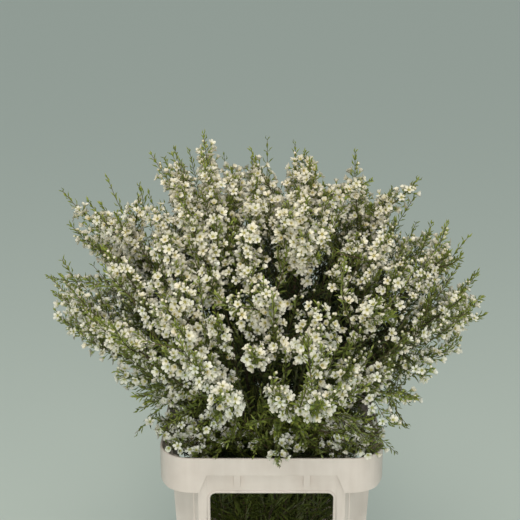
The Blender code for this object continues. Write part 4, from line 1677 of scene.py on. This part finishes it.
    def stalked(self, forms: list[Shape], kinds: NDArray[np.int64], foot: Array,
                forward: Array, off: Array, head_habit: HeadHabit) -> Shape:
        """Sets flowers or buds at the ends of their stalks.

        A head stands at foot + l d, with d between the twig's direction and square off it, and
        faces d turned a little outwards; the form's first vertex is put back at the foot.

        Args:
            forms: variants of the flower or bud.
            kinds: number of the variant that each one is.
            foot: where each stalk leaves its twig.
            forward: direction of the twig there.
            off: direction square to it.
            head_habit: length and opening of the stalks.
        Returns:
            The flowers or buds as one shape.
        """
        rng, habit, count = self.rng, self.bloom, len(foot)
        angle = (head_habit.opening + rng.normal(0, habit.scatter, count))[:, None]
        direction = unit(forward * np.cos(angle) + off * np.sin(angle))
        length = rng.uniform(*head_habit.stalk, count)[:, None] * MM
        head = foot + direction * length
        outward = unit(head - np.array([0, 0, self.crown.fan_z]))
        facing = unit(direction + habit.outwards * outward
                      + rng.normal(0, habit.facing_scatter, (count, 3)))
        side = unit(np.cross(facing, rng.normal(0, 1, (count, 3))))
        axes = np.stack([side, np.cross(facing, side), facing], 1)
        sizes = np.repeat(rng.uniform(*habit.sizes, (count, 1)), 3, 1)
        # Higher flowers take creamier tints, which paint warm light on the top of the bunch
        low, gain, scatter = habit.tint
        tints = low + gain * habit.painted_warm_light.at(head[:, 2]) + rng.normal(0, scatter, count)
        keep = self.crown.clear(head, habit.margin) & ~self.crown.under(head)
        shape = stamped(forms, kinds[keep], head[keep], axes[keep], sizes[keep],
                        np.clip(tints, 0, 1)[keep])
        shape.points.reshape(-1, len(forms[0].points), 3)[:, 0] = foot[keep]
        return shape

    def build(self) -> int:
        """Builds and dresses the spray's pieces. Returns the number of triangles."""
        every = (
            self.long_shoots(), self.side_twigs(),
            *(self.twigs_to(layer, targets) for layer, targets in self.crown.layers),
            self.low_shoots(outwards=False), self.low_shoots(outwards=True),
        )
        kinds = [twigs for twigs in every if len(twigs.curves)]
        wood, leaves, blooms = self.wood(kinds), [], []
        for twigs in kinds:
            sites = self.sites(twigs)
            leaves.append(self.leaves(twigs, sites))
            blooms += self.blooms(twigs, sites)
        label = f"{self.number + 1:02d}"
        head = f"flower_head_{label}"
        pieces = (
            (f"woody_stem_{label}", wood, "bark", "stem_bark", f"stem_{label}"),
            (f"needle_leaves_{label}", Shape.merged(leaves), "leaf", "waxflower_bloom", head),
            (f"flowers_{label}", Shape.merged(blooms), "bloom", "waxflower_bloom", head),
        )
        total = 0
        for name, shape, finish, slot, node in pieces:
            dress(name, shape.mesh(name), self.materials[finish], slot, node)
            total += len(shape.triangles) + 2 * len(shape.quads)
        return total


@dataclass(frozen=True)
class Softbox:
    """A square soft light that faces the bunch."""

    name: str
    place: tuple[float, float, float]
    size: float
    power: float        # watts
    colour: str

    def build(self, aim: tuple[float, float, float]) -> None:
        """Hangs the light and turns it towards a point."""
        lamp = bpy.data.lights.new(self.name, "AREA")
        lamp.size, lamp.energy, lamp.color = self.size, self.power, linear(self.colour)[:3]
        made = bpy.data.objects.new(self.name, lamp)
        made.location = self.place
        towards = Vector(aim) - made.location
        made.rotation_euler = towards.to_track_quat("-Z", "Y").to_euler()
        bpy.context.scene.collection.objects.link(made)


@dataclass(frozen=True)
class Studio:
    """Pale seamless floor, soft light from above and the camera at the photograph's angle."""

    camera_place: tuple[float, float, float] = (-0.0156, -1.503, 1.1535)
    camera_pitch: float = radians(73.25)
    focal_px: float = 1100.0
    frame_px: float = 520.0
    sensor_mm: float = 36.0
    floor_half: float = 30.0
    floor_colour: str = "ccd8d0"
    floor_roughness: float = 0.9
    aim: tuple[float, float, float] = (0.0, 0.0, 0.55)
    softboxes: tuple[Softbox, ...] = (
        Softbox("top_softbox", (-0.15, -1.0, 2.3), 1.0, 15, "fff6e8"),
        Softbox("front_fill", (0.0, -4.4, 1.8), 1.8, 88, "fffaf4"),
    )
    # Bright overhead and dim below, as under a wide softbox; pale behind the floor's edge
    surroundings: tuple[tuple[float, str], ...] = (
        (0.0, "a3ada7"), (0.10, "a3ada7"), (0.18, "3c3e3d"), (0.90, "d3d7d5"),
    )

    def floor(self) -> None:
        """One plain pale surface under the bucket, large enough to fill the view."""
        s = self.floor_half
        mesh = bpy.data.meshes.new("studio_floor")
        mesh.from_pydata([(-s, -s, 0), (s, -s, 0), (s, s, 0), (-s, s, 0)], [], [(0, 1, 2, 3)])
        made, _, shader = new_material("matt_paper_floor")
        shader.inputs["Base Color"].default_value = linear(self.floor_colour)
        shader.inputs["Roughness"].default_value = self.floor_roughness
        mesh.materials.append(made)
        floor = bpy.data.objects.new("studio_floor", mesh)
        bpy.context.scene.collection.objects.link(floor)

    def world(self) -> None:
        """Soft surroundings whose brightness goes by height."""
        world = bpy.data.worlds.new("studio")
        bpy.context.scene.world = world
        world.use_nodes = True
        tree = world.node_tree
        sky = add_node(tree, "ShaderNodeTexCoord").outputs["Generated"]
        height = add_node(tree, "ShaderNodeSeparateXYZ", links={0: sky}).outputs[2]
        glow = add_node(tree, "ShaderNodeValToRGB", links={0: height},
                        stops=list(self.surroundings))
        tree.links.new(glow.outputs[0], tree.nodes["Background"].inputs["Color"])

    def camera(self) -> None:
        """The camera, level across and looking down on the bunch."""
        camera = bpy.data.cameras.new("camera")
        camera.sensor_width = self.sensor_mm
        camera.lens = self.focal_px / self.frame_px * self.sensor_mm
        holder = bpy.data.objects.new("camera", camera)
        holder.location = self.camera_place
        holder.rotation_euler = (self.camera_pitch, 0, 0)
        bpy.context.scene.collection.objects.link(holder)
        bpy.context.scene.camera = holder

    def build(self) -> None:
        """Sets up the floor, the lights, the surroundings and the camera."""
        self.floor()
        for softbox in self.softboxes:
            softbox.build(self.aim)
        self.world()
        self.camera()
        bpy.context.scene.view_settings.view_transform = "Standard"


def main() -> None:
    """Builds the bucket, the collar, every spray and the studio, and reports each piece."""
    logging.basicConfig(level=logging.INFO, format="%(message)s")
    Studio().build()
    FlowerBucket().build()
    WindowedCollar().build()
    crown, form = Crown(), FlowerForm()
    materials = {"bark": BARK.material(), "leaf": LEAF.material(), "bloom": BLOOM.material()}
    draws = np.random.default_rng(FORM_SEED)
    forms = [form.form(bloom, draws) for bloom in Bloom for _ in range(FORMS_EACH)]
    total = 0
    for number, (foot, curve) in enumerate(zip(*crown.paths())):
        total += Spray(number, crown, foot, curve, materials, forms).build()
    log.info("sprays: %d triangles", total)


if __name__ == "__main__":
    main()
